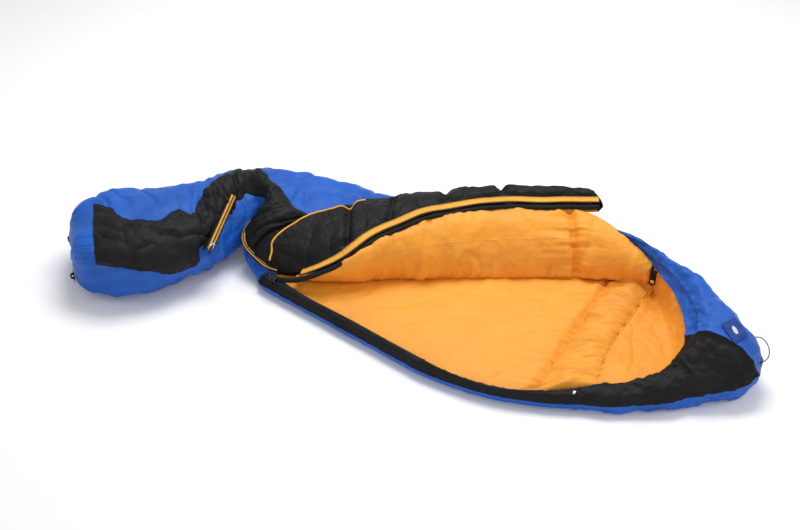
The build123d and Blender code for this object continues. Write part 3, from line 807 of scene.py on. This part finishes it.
# ---- the bunched black panel over the knee -------------------------------------------------------
KNEE_ROWS, KNEE_ACROSS = 420, 170
knee_in = curve([(-0.205, -0.085, 0.10), (-0.178, -0.03, 0.13), (-0.168, 0.06, 0.157), (-0.168, 0.14, 0.178),
                 (-0.172, 0.192, 0.188), (-0.148, 0.222, 0.192), (-0.116, 0.230, 0.184),
                 (-0.103, 0.212, 0.160), (-0.116, 0.180, 0.140), (-0.127, 0.145, 0.125),
                 (-0.128, 0.115, 0.112), (-0.117, 0.088, 0.105), (-0.092, 0.067, 0.092),
                 (-0.046, 0.048, 0.080), (0.006, 0.034, 0.070), (0.06, 0.046, 0.062),
                 (0.115, 0.066, 0.060)], KNEE_ROWS)
knee_out = curve([(-0.262, -0.06, 0.195), (-0.262, 0.00, 0.205), (-0.262, 0.05, 0.215),
                  (-0.283, 0.12, 0.220), (-0.290, 0.21, 0.220), (-0.258, 0.285, 0.216),
                  (-0.190, 0.315, 0.208), (-0.135, 0.312, 0.196), (-0.072, 0.285, 0.180),
                  (-0.018, 0.250, 0.166), (0.035, 0.252, 0.156), (0.095, 0.262, 0.148), (0.14, 0.248, 0.145),
                  (0.18, 0.22, 0.140), (0.20, 0.18, 0.125), (0.20, 0.15, 0.11), (0.19, 0.12, 0.095)],
                 KNEE_ROWS)
mid = between(knee_in, knee_out, 0.5)
crown = 1 - 0.75 * smooth(steps(KNEE_ROWS), 0.70, 0.95)
knee_controls = np.stack([
    with_z(between(knee_in, knee_out, 0.03), knee_in[:, 2] - 0.03),
    knee_in,
    with_z(between(knee_in, knee_out, 0.22), between(knee_in, knee_out, 0.22)[:, 2] + 0.030 * crown),
    with_z(mid, mid[:, 2] + 0.036 * crown),
    with_z(between(knee_in, knee_out, 0.8), between(knee_in, knee_out, 0.8)[:, 2] + 0.022 * crown),
    with_z(between(knee_in, knee_out, 1.0), knee_out[:, 2] - 0.010),
    with_z(between(knee_in, knee_out, 1.0), knee_out[:, 2] - 0.05)], 1)
knee = sections(knee_controls, KNEE_ACROSS)
ku, kv = lengths(knee, 0), lengths(knee, 1)
mid_run = np.broadcast_to(ku[:, KNEE_ACROSS // 2:KNEE_ACROSS // 2 + 1], ku.shape)
ridges = np.stack([mid_run / 0.052, kv / 0.26, 0 * kv], -1)
knee_height = 0.013 * noise(ridges, 151) + 0.007 * noise(ridges * [2.2, 1.7, 1], 152)
knee_height = knee_height + 0.005 * layers(knee, 0.06, 3, 153) + 0.001 * layers(knee, 0.022, 2, 156)
knee_height = knee_height - 0.009 * creases(ridges * [0.9, 0.8, 1], 1.0, 157, 0.09)
knee_height = knee_height + groove(mid_run - 0.30, 0.012, 0.012) + groove(mid_run - 0.62, 0.010, 0.012)
knee_height = knee_height * smooth(kv, 0.02, 0.06) * (0.15 + 0.85 * smooth(kv[:, -1:] - kv, 0.03, 0.09))
knee_side = 1 if grid_normals(knee)[200, 85, 2] > 0 else -1
knee = raised(knee, knee_side * knee_height)
surface("knee_black_panel", knee, BLACK, "bag", "black_shell")

# blue side of the bag in the notch, from the closed zip line down to the floor
notch_rows = slice(int(KNEE_ROWS * 0.36), int(KNEE_ROWS * 0.90))
notch_top = knee_in[notch_rows]
notch_floor = with_z(resample(np.array([(-0.165, 0.235, 0), (-0.150, 0.165, 0), (-0.085, 0.085, 0),
                                        (-0.004, 0.004, 0), (0.03, -0.004, 0)]), len(notch_top)), 0)
notch_out = np.array([-0.7, -0.7, 0])
notch = sections(np.stack([
    notch_top - [0, 0, 0.004],
    between(notch_top, notch_floor, 0.30) + 0.012 * notch_out,
    between(notch_top, notch_floor, 0.65) + 0.014 * notch_out,
    with_z(notch_floor + 0.004 * notch_out, 0.012),
    with_z(notch_floor - 0.008 * notch_out, 0.001)], 1), 60)
notch = soft(notch, 0.004, 0.06, 0.001, 159)
notch[..., 2] = np.maximum(notch[..., 2], 0.001)
surface("notch_wall", notch, BLUE, "bag", "royal_blue_shell")

# ---- lid: orange roll, inner flap, outer flap ----------------------------------------------------
LID_ROWS = 460
tape_line = curve([(0.02, 0.02, 0.068), (0.08, 0.017, 0.075), (0.131, 0.024, 0.09), (0.164, 0.032, 0.108),
                   (0.201, 0.045, 0.13), (0.235, 0.065, 0.15), (0.262, 0.089, 0.168), (0.285, 0.125, 0.186),
                   (0.305, 0.165, 0.200), (0.335, 0.21, 0.212), (0.372, 0.255, 0.222), (0.415, 0.312, 0.230),
                   (0.475, 0.37, 0.233), (0.547, 0.44, 0.233), (0.66, 0.506, 0.233), (0.773, 0.566, 0.233),
                   (0.886, 0.624, 0.232)], LID_ROWS)
roll_base = curve([(0.02, 0.052, 0.054), (0.112, 0.052, 0.052), (0.199, 0.092, 0.050), (0.30, 0.145, 0.049),
                   (0.393, 0.196, 0.049), (0.53, 0.268, 0.049), (0.673, 0.343, 0.049), (0.80, 0.408, 0.050),
                   (0.92, 0.465, 0.052), (1.01, 0.505, 0.056), (1.085, 0.528, 0.072)], LID_ROWS)
tape_run = lengths(tape_line[:, None])[:, 0]
tape_wave = noise(np.stack([tape_run / 0.13, 0 * tape_run, 0 * tape_run], -1), 159)
tape_line[:, 1] += 0.010 * tape_wave * smooth(steps(LID_ROWS), 0.2, 0.4) * smooth(steps(LID_ROWS), 1, 0.9)
# the roll's own upper edge leaves the tape near the neck and comes down to the crease
roll_top = curve([tuple(p) for p in tape_line[:int(LID_ROWS * 0.80):30]]
                 + [(0.755, 0.566, 0.226), (0.83, 0.585, 0.222), (0.90, 0.588, 0.212), (0.975, 0.572, 0.192),
                    (1.035, 0.555, 0.163), (1.075, 0.543, 0.122)], LID_ROWS)
front = unit(np.cross(np.gradient(tape_line, axis=0), np.array([0, 0, 1.0])))
full = np.clip((steps(LID_ROWS) - 0.07) / 0.16, 0, 1)
full = (full ** 0.7)[:, None]
lower_front = unit(front * [1, 1, 0])
roll_controls = np.stack([
    roll_base - 0.035 * lower_front * [1, 1, 0] - [0, 0, 0.004],
    roll_base - [0, 0, 0.001],
    between(roll_base, roll_top, 0.14) + full * (0.030 * lower_front + [0, 0, 0.004]),
    between(roll_base, roll_top, 0.42) + full * (0.040 * lower_front + [0, 0, 0.028]),
    between(roll_base, roll_top, 0.75) + full * (0.026 * lower_front + [0, 0, 0.022]),
    roll_top - [0, 0, 0.006] + full * 0.004 * lower_front], 1)
ROLL_ACROSS = 240
roll = sections(roll_controls, ROLL_ACROSS)
ru, rv = lengths(roll, 0), lengths(roll, 1)
spread = np.broadcast_to(lengths(roll_top[:, None]), ru.shape)
total = spread[-1, 0]
share = spread / total
flow = np.stack([spread / 0.16, rv / 0.30, 0 * rv], -1)
roll_height = 0.011 * noise(flow, 161) + 0.006 * noise(flow * [1.9, 2.3, 1], 162)
roll_height = roll_height + 0.0022 * layers(roll, 0.05, 2, 163) + 0.0007 * layers(roll, 0.018, 2, 165)
bent_flow = flow * [1.3, 0.9, 1] + 0.2 * noise(flow, 166)[..., None]
roll_height = roll_height - 0.0045 * creases(bent_flow, 1.0, 167, 0.10)
collar_at = total * (0.80 - 0.055 * (rv / rv[:, -1:] - 0.5))
from_collar = spread - collar_at
roll_height = roll_height + groove(from_collar, 0.016, 0.014)
roll_height = roll_height + 0.013 * gathers(rv, from_collar, 0.034, 0.06, 168)
roll_height = roll_height + 0.010 * gathers(spread, rv - 0.05, 0.034, 0.045, 160)
roll_height = roll_height + 0.010 * smooth(from_collar, 0, 0.05)
roll_height = roll_height + 0.006 * gathers(rv, total - spread, 0.030, 0.05, 169)
to_tape = rv[:, -1:] - rv
roll_height = roll_height + 0.006 * gathers(spread, to_tape, 0.032, 0.04, 170)
roll_height = roll_height * smooth(rv, 0.03, 0.07) * smooth(to_tape, 0, 0.015) * full
roll_side = np.sign((grid_normals(roll)[200:300, 100:160] * lower_front[200:300, None]).sum(-1).mean())
roll = raised(roll, roll_side * roll_height)
# the neck end rounds over and tucks in behind
tuck = []
last, direction = roll[-1], unit(np.gradient(roll, axis=0)[-1] * [1, 1, 0.3])
inward = unit(-lower_front[-1])
for angle_step in np.linspace(0, math.pi * 0.75, 34)[1:]:
    belly = np.sin(math.pi * steps(ROLL_ACROSS))[:, None] ** 0.6
    tuck.append(last + direction * 0.030 * math.sin(angle_step) * belly
                + (inward * 0.05 - direction * 0.02) * (1 - math.cos(angle_step)) * belly)
roll = np.concatenate([roll, np.array(tuck)])
SPLIT_Z = 0.172
split = np.array([int(np.argmax(np.concatenate([row[:, 2] > SPLIT_Z, [True]]))) for row in roll])
split = np.clip(split, 40, ROLL_ACROSS - 14)
for _ in range(30):
    split[1:-1] = (split[:-2] + 2 * split[1:-1] + split[2:]) // 4


def along_rows(grid, start, end, count):
    """Each row of a grid resampled between its own start and end columns."""
    out = np.empty((len(grid), count, 3))
    for i, row in enumerate(grid):
        at = np.linspace(start[i], end[i], count)
        low = np.minimum(np.floor(at).astype(int), len(row) - 2)
        out[i] = between(row[low], row[low + 1], (at - low)[:, None])
    return out


first = int(LID_ROWS * 0.075)
roll_low = along_rows(roll[first:], 0 * split[first:], split[first:] + 3, 170)
roll_high = along_rows(roll[first:], split[first:], 0 * split[first:] + ROLL_ACROSS - 1, 90)
roll_piece = surface("lid_roll", roll_low, ORANGE, None, "orange_lining", back=cloth_shell(roll_low, 0.003))
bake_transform(roll_piece)
surface("lid_outer_front", roll_high, ORANGE, "lid_outer", "orange_lining",
        ("lid_outer_lining", "lid_outer_collar"), back=cloth_shell(roll_high, 0.003))

# outer flap's black top: from the tape over a lofty crest to the fold at the far side
ridge_line = curve([(0.014, 0.036, 0.092), (0.002, 0.073, 0.130), (0.010, 0.115, 0.155),
                    (0.052, 0.190, 0.178), (0.104, 0.256, 0.187), (0.157, 0.310, 0.190), (0.22, 0.362, 0.195),
                    (0.28, 0.408, 0.204), (0.34, 0.436, 0.217), (0.43, 0.475, 0.232),
                    (0.50, 0.52, 0.238), (0.568, 0.558, 0.24), (0.64, 0.59, 0.24), (0.702, 0.62, 0.24),
                    (0.77, 0.65, 0.238), (0.835, 0.675, 0.234)], LID_ROWS)
tuck_line = curve([(0.03, 0.05, 0.075), (0.02, 0.09, 0.095), (0.05, 0.16, 0.11), (0.10, 0.23, 0.13),
                   (0.15, 0.29, 0.155), (0.21, 0.345, 0.176), (0.28, 0.39, 0.180), (0.34, 0.42, 0.182),
                   (0.42, 0.46, 0.184), (0.50, 0.51, 0.185), (0.58, 0.57, 0.186), (0.66, 0.62, 0.186),
                   (0.74, 0.66, 0.186), (0.80, 0.69, 0.186), (0.83, 0.70, 0.186)], LID_ROWS)
back_of_tape = tape_line - 0.022 * lower_front + [0, 0, 0.001]
crest = 0.014 * full[:, 0]
top_controls = np.stack([
    back_of_tape - [0, 0, 0.004],
    between(back_of_tape, ridge_line, 0.25) + np.stack([0 * crest, 0 * crest, crest], -1),
    between(back_of_tape, ridge_line, 0.65) + np.stack([0 * crest, 0 * crest, crest], -1),
    ridge_line + np.stack([0 * crest, 0 * crest, 0.2 * crest], -1),
    between(ridge_line, tuck_line, 0.55) + [-0.012, 0.018, 0.0],
    tuck_line], 1)
lid_top = sections(top_controls, 170)
lu, lv = lengths(lid_top, 0), lengths(lid_top, 1)
lid_spread = np.broadcast_to(lengths(back_of_tape[:, None]), lu.shape)
cinches = np.array([0.26, 0.40, 0.57, 0.74, 1.02]) * lid_spread[-1, 0]
drape = np.stack([lid_spread / 0.13, lv / 0.15, 0 * lv], -1)
lid_height = (0.006 * noise(drape, 181) + 0.0025 * layers(lid_top, 0.05, 3, 182)
              + 0.001 * layers(lid_top, 0.02, 2, 186))
for number, at in enumerate(cinches):
    lean = lid_spread - at - 0.25 * (lv - 0.06)
    lid_height = (lid_height + groove(lean, 0.019, 0.015)
                  + 0.006 * gathers(lv, lean, 0.024, 0.035, 190 + number))
lid_height = lid_height - 0.004 * creases(drape * [1.2, 0.9, 1], 1.0, 188, 0.09)
lid_height = lid_height * smooth(lv, 0, 0.03)
lid_side = 1 if grid_normals(lid_top)[250, 60, 2] > 0 else -1
lid_top = raised(lid_top, lid_side * lid_height)
LID_CEILING = 0.259
lid_top[..., 2] = np.minimum(lid_top[..., 2], LID_CEILING)
# near the zip's lower end the layers hardly move when the lid is opened, so they stay with the bag
still = int(np.argmax(tape_line[:, 2] > 0.165))
surface("gusset_black_panel", lid_top[:still + 1], BLACK, "bag", "black_shell",
        back=cloth_shell(lid_top[:still + 1], 0.003))
surface("lid_outer_black", lid_top[still:], BLACK, "lid_outer", "black_shell",
        ("lid_outer_shell", "lid_outer_fill"), back=cloth_shell(lid_top[still:], 0.003))
# its underside, in lining, and its black neck end
under = between(tuck_line[:, None], (tape_line - [0, 0, 0.03])[:, None], steps(60)[None, :, None])
under[..., 2] -= 0.006
under = soft(under, 0.002, 0.08, 0.0006, 201)[still:]
surface("lid_outer_under", under, ORANGE, "lid_outer", "orange_lining", back=cloth_shell(under, 0.003))
neck_top = lid_top[-1]
neck_low = along_rows(under[-1:, ::-1], [0], [59], 170)[0]
end_controls = np.stack([neck_top, between(neck_top, neck_low, 0.5) + 0.016 * direction[0], neck_low], 1)
neck_cap = sections(end_controls, 24)
surface("lid_outer_neck", neck_cap, BLACK, "lid_outer", "black_shell")

# blue shell across the first fold, tucked inside the fold at rest
hinge_at = np.linspace(0.34, 1.08, 200)[:, None] * FOLD_DIRECTION[None]
across_at = np.linspace(0.15, 0.045, 30)[None, :, None]
lower_leaf = hinge_at[:, None] + FOLD_ACROSS * across_at + [0, 0, FOLD_Z - 0.0035]
upper_leaf = (hinge_at[:, None] + FOLD_ACROSS * across_at + [0, 0, FOLD_Z + 0.0035])[:, ::-1]
fold_shell = np.concatenate([lower_leaf, upper_leaf], 1)
fold_piece = surface("lid_fold_shell", fold_shell, BLUE, None, "royal_blue_shell")
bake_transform(fold_piece)

# inner flap, mostly hidden between the closed quilt and the outer flap
inner_near = curve([(0.16, 0.15, 0.15), (0.35, 0.25, 0.155), (0.66, 0.42, 0.156), (0.88, 0.53, 0.156),
                    (0.95, 0.56, 0.154)], 240)
inner_far = curve([(0.14, 0.16, 0.15), (0.30, 0.33, 0.155), (0.50, 0.51, 0.158), (0.70, 0.66, 0.158),
                   (0.78, 0.69, 0.155)], 240)
flat = between(inner_near[:, None], inner_far[:, None], steps(120)[None, :, None])
flat_u, flat_v = lengths(flat, 0), lengths(flat, 1)
gap = np.minimum(np.minimum(flat_v, flat_v[:, -1:] - flat_v), np.minimum(flat_u, flat_u[-1:] - flat_u))
loft = 0.022 * smooth(gap, 0, 0.06) ** 0.6
quilting = 0.003 * layers(flat, (0.09, 0.09, 1), 3, 211) * smooth(gap, 0, 0.03)
upper_face, lower_face = flat.copy(), flat.copy()
upper_face[..., 2] += loft * 0.85 + quilting
lower_face[..., 2] -= loft + quilting
lower_face[..., 2] = np.maximum(lower_face[..., 2], 0.126)
surface("lid_inner_lining_face", upper_face, ORANGE, "lid_inner", "orange_lining",
        ("lid_inner_lining", "lid_inner_collar"), back=cloth_shell(upper_face, 0.003))
surface("lid_inner_shell_face", lower_face, BLUE, "lid_inner", "royal_blue_shell",
        ("lid_inner_shell", "lid_inner_fill"), back=cloth_shell(lower_face, -0.003))
# shell that wraps round the second fold, from the inner flap to the outer one
wrap_low = inner_far + [-0.01, -0.012, -0.018]
wrap_high = curve([tuple(p) for p in tuck_line[still::50]] + [tuple(tuck_line[-1])], 240)
bend_out = unit(np.cross(np.gradient(inner_far, axis=0), np.array([0, 0, -1.0])))
bend_out = bend_out * np.sign((bend_out * (inner_far - inner_near)).sum(-1).mean())
wrap = sections(np.stack([wrap_low, between(wrap_low, wrap_high, 0.3) + 0.028 * bend_out,
                          between(wrap_low, wrap_high, 0.7) + 0.030 * bend_out, wrap_high], 1), 60)
wrap = soft(wrap, 0.004, 0.08, 0.001, 221)
wrap_piece = surface("lid_turn_wrap", wrap, BLACK, None, "black_shell", back=cloth_shell(wrap, 0.003))
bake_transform(wrap_piece)

# ---- zips ----------------------------------------------------------------------------------------
tape_from = int(LID_ROWS * 0.10)
tape_near = tape_line + [0, 0, 0.0025]
tape_far = tape_line - 0.026 * lower_front + [0, 0, 0.006]
draft = tape_line + 0.009 * lower_front - [0, 0, 0.011]
draft_run = lengths(draft[:, None])[:, 0]
draft_wave = 0.008 + 0.0022 * noise(np.stack([draft_run / 0.05, 0 * draft_run, 0 * draft_run], -1), 231)
for part, body, rows, own in (("start", "bag", slice(tape_from, still + 1), ()),
                              ("lid", "lid_outer", slice(still, LID_ROWS),
                               ("lid_zip_tape", "lid_zip_coil", "lid_draft_tube"))):
    ribbon(f"{part}_zip_tape_cloth", tape_near[rows], tape_far[rows], 0.0014, YELLOW_TAPE, body,
           "zip_tape_yellow", own[:1])
    coil_line, coil_radius = coil_path(tape_near[rows] + 0.0015 * lower_front[rows])
    tube(f"{part}_zip_teeth", coil_line, coil_radius, COIL, body, "zip_coil", own[1:2], sides=8)
    from_row = slice(8, rows.stop) if part == "start" else rows
    tube(f"{part}_draft_tube", draft[from_row], draft_wave[from_row], BLACK_TRIM, body, "black_trim",
         own[2:], sides=16)
    stitches = (tape_line - 0.021 * lower_front)[rows] + [0, 0, 0.0075]
    stitch_row(f"{part}_tape_stitches", stitches, (0, -0.4, 1), THREAD, body, "black_trim")
    edge_rows = slice(2, still + 1) if part == "start" else slice(still, int(LID_ROWS * 0.36))
    edge_column = int(np.argmin(np.linalg.norm(lid_top[60] - ridge_line[60], axis=-1)))
    piping = lid_top[edge_rows, edge_column] + [0, 0, 0.001]
    relax(piping, 6)
    tube(f"{part}_edge_piping", piping, 0.0032, YELLOW_TAPE, body, "zip_tape_yellow", sides=10, squash=0.8)

near_stop = edge_index(1.0, -0.08)
low_tape_in = edge[8:near_stop] + 0.003 * unit(floor_line - edge)[8:near_stop] * [1, 1, 0] + [0, 0, 0.002]
low_tape_out = low_tape_in + 0.010 * unit(edge - floor_line)[8:near_stop] * [1, 1, 0] + [0, 0, 0.003]
ribbon("lower_tape", low_tape_in, low_tape_out, 0.0014, BLACK_TRIM, "bag", "zip_tape_black",
       ("lower_zip_tape",))
coil_line, coil_radius = coil_path(low_tape_out + [0, 0, 0.001], base=0.0020)
tube("lower_coil", coil_line, coil_radius, COIL, "bag", "zip_coil", ("lower_zip_coil",), sides=8)
outward_edge = unit(floor_line - edge)[8:near_stop] * [1, 1, 0]
stitch_row("lower_band_stitches", low_tape_in + 0.004 * outward_edge + [0, 0, 0.0035], (0, -0.3, 1),
           THREAD, "bag", "black_trim")

foot_zip = between(zip_start, zip_start + 0.86 * (zip_end - zip_start), steps(160)[:, None])
foot_up = unit(np.array([0.62, -0.1, 0.78]))
foot_side_way = unit(np.cross(zip_end - zip_start, foot_up))
placket = [foot_zip + side * foot_side_way + lift_by * foot_up
           for side, lift_by in ((-0.016, -0.030), (-0.012, -0.004), (0.012, -0.004), (0.016, -0.030))]
surface("foot_placket", np.stack(placket, 1), BLACK, "bag", "black_trim", ("foot_zip_placket",))
foot_tape_middle, foot_tape_reach = foot_zip - 0.001 * foot_up, 0.0085 * foot_side_way
ribbon("foot_tape", foot_tape_middle - foot_tape_reach, foot_tape_middle + foot_tape_reach,
       0.0014, YELLOW_TAPE, "bag", "zip_tape_yellow", ("foot_zip_tape",))
coil_line, coil_radius = coil_path(foot_zip + 0.0012 * foot_up, base=0.0020)
tube("foot_coil", coil_line, coil_radius, COIL, "bag", "zip_coil", ("foot_zip_chain",), sides=8)

# closed zip over the knee fold, down to the lower end of the opening
closed = knee_in[int(KNEE_ROWS * 0.52):int(KNEE_ROWS * 0.90)] + [0, 0, 0.004]
closed_side = unit(np.cross(np.gradient(closed, axis=0), np.array([0, 0, 1.0])))
for _ in range(25):
    closed_side[1:-1] = unit(closed_side[:-2] + 2 * closed_side[1:-1] + closed_side[2:])
ribbon("knee_tape", closed - 0.006 * closed_side, closed + 0.006 * closed_side, 0.0014, YELLOW_TAPE, "bag",
       "zip_tape_yellow")
coil_line, coil_radius = coil_path(closed + [0, 0, 0.0015], base=0.0022)
tube("knee_coil", coil_line, coil_radius, COIL, "bag", "zip_coil", sides=8)

# ---- sewn patch on the hood, with a plain mark ---------------------------------------------------
hood_points = wall[hood_change:, :SEAM_ROW].reshape(-1, 3)


def on_hood(points, rise_by):
    """Points laid on the hood's blue panel from above."""
    flat = points.reshape(-1, 2)
    heights = []
    for x, y in flat:
        gap = (hood_points[:, 0] - x) ** 2 + (hood_points[:, 1] - y) ** 2
        near = np.argsort(gap)[:12]
        heights.append(np.average(hood_points[near, 2], weights=1 / (gap[near] + 1e-6)))
    return np.hstack([flat, np.array(heights)[:, None] + rise_by]).reshape(*points.shape[:-1], 3)


patch_centre = np.array([1.424, 0.270])
patch_across, patch_up = np.array([0.80, -0.60]), np.array([0.60, 0.80])
du, dv = np.meshgrid(np.linspace(-0.031, 0.031, 26), np.linspace(-0.023, 0.023, 20), indexing="ij")
patch = on_hood(patch_centre + du[..., None] * patch_across + dv[..., None] * patch_up, 0.0032)
surface("hood_patch_cloth", patch, PATCH_BLUE, "bag", "patch", ("hood_patch",),
        back=cloth_shell(patch, 0.0022))
rim_of_patch = np.vstack([patch[:, 0], patch[-1], patch[::-1, -1], patch[0, ::-1]])
stitch_row("hood_patch_stitches", rim_of_patch + [0, 0, 0.0006], (0, 0, 1), THREAD, "bag", "patch")
full_turn = np.linspace(0, 2 * math.pi, 40, endpoint=False)
spin, radial = np.meshgrid(full_turn, np.linspace(0.05, 1, 8), indexing="ij")
mark = on_hood(patch_centre + (0.013 * radial * np.cos(spin))[..., None] * patch_across
               + (0.0055 * radial * np.sin(spin))[..., None] * patch_up, 0.0045)
surface("hood_patch_mark", mark, REFLECTIVE, "bag", "patch", wrap_u=True)

# ---- carried over CAD pieces with their finishes -------------------------------------------------
finish = {
    BLACK_TRIM: ("neck_tab", "neck_tab_anchor", "foot_web_tab", "foot_hang_loop",
                 "foot_floor_loop", "near_pull", "foot_pull"),
    NICKEL: ("foot_slider", "foot_slider_wing", "near_pull_pin", "foot_pull_pin",
             "foot_zip_stop", "lower_zip_stop", "lid_zip_stop", "cord_lock_spring", "hood_eyelet"),
    BRASS: ("press_stud_cap",),
    GREY_TRIM: ("hook_loop_base", "hook_loop_tab"),
    BLACK_PLASTIC: ("cord_lock_barrel", "cord_lock_button", "near_slider"),
}
for material, names in finish.items():
    for name in names:
        mesh = frame["nodes"][name].data
        mesh.materials.clear()
        mesh.materials.append(material)
        for polygon in mesh.polygons:
            polygon.material_index = 0

# ---- hood cord -----------------------------------------------------------------------------------
cord_route = [(1.470, 0.316, 0.138), (1.487, 0.338, 0.134), (1.514, 0.334, 0.119), (1.530, 0.306, 0.105),
              (1.523, 0.274, 0.097), (1.497, 0.254, 0.096)]
data = bpy.data.curves.new("hood_cord_loop", "CURVE")
data.dimensions = "3D"
data.bevel_depth = 0.0015
data.bevel_resolution = 4
data.resolution_u = 16
spline = data.splines.new("NURBS")
spline.points.add(len(cord_route) - 1)
for point, place in zip(spline.points, cord_route):
    point.co = (*world(place), 1)
spline.order_u = 3
spline.use_endpoint_u = True
cord_loop = bpy.data.objects.new("hood_cord_loop", data)
bpy.context.scene.collection.objects.link(cord_loop)
data.materials.append(BLACK_TRIM)
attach(cord_loop, "bag")
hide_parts("hood_cord")

# ---- floor, light, camera ------------------------------------------------------------------------
floor_mesh = bpy.data.meshes.new("floor")
floor_mesh.from_pydata([(-30, -30, 0), (30, -30, 0), (30, 30, 0), (-30, 30, 0)], [], [(0, 1, 2, 3)])
floor = bpy.data.objects.new("floor", floor_mesh)
bpy.context.scene.collection.objects.link(floor)
paper = bpy.data.materials.new("white_floor")
paper.use_nodes = True
paper.node_tree.nodes["Principled BSDF"].inputs["Base Color"].default_value = (0.93, 0.93, 0.93, 1)
paper.node_tree.nodes["Principled BSDF"].inputs["Roughness"].default_value = 0.9
floor_mesh.materials.append(paper)

sky = bpy.data.worlds.new("studio")
sky.use_nodes = True
sky.node_tree.nodes["Background"].inputs["Color"].default_value = (1, 1, 1, 1)
sky.node_tree.nodes["Background"].inputs["Strength"].default_value = 0.46
bpy.context.scene.world = sky


def softbox(name, place, aim, size, power):
    light = bpy.data.lights.new(name, "AREA")
    light.shape = "RECTANGLE"
    light.size, light.size_y = size
    light.energy = power
    lamp = bpy.data.objects.new(name, light)
    bpy.context.scene.collection.objects.link(lamp)
    lamp.location = place
    lamp.rotation_euler = (Vector(aim) - Vector(place)).to_track_quat("-Z", "Y").to_euler()


softbox("overhead", (-0.4, 1.2, 3.2), (0, 0.1, 0), (2.0, 1.4), 95)
softbox("fill_left", (-3.0, -1.6, 2.0), (0, 0, 0.1), (1.6, 1.6), 8)
softbox("front", (1.4, -3.2, 1.5), (0.3, 0, 0.1), (1.8, 1.4), 22)
softbox("kicker_right", (3.0, 1.0, 1.6), (0.3, 0, 0.1), (1.2, 1.6), 22)

camera_data = bpy.data.cameras.new("camera")
camera_data.lens = 55.4
camera_data.sensor_width = 36
camera = bpy.data.objects.new("camera", camera_data)
bpy.context.scene.collection.objects.link(camera)
eye = Vector(world([1.7753, -2.5142, 2.4811]))
aim = Vector(world([0.3335, 0.3154, 0]))
camera.location = eye
camera.rotation_euler = (aim - eye).to_track_quat("-Z", "Y").to_euler()
bpy.context.scene.camera = camera
bpy.context.scene.view_settings.view_transform = "Standard"
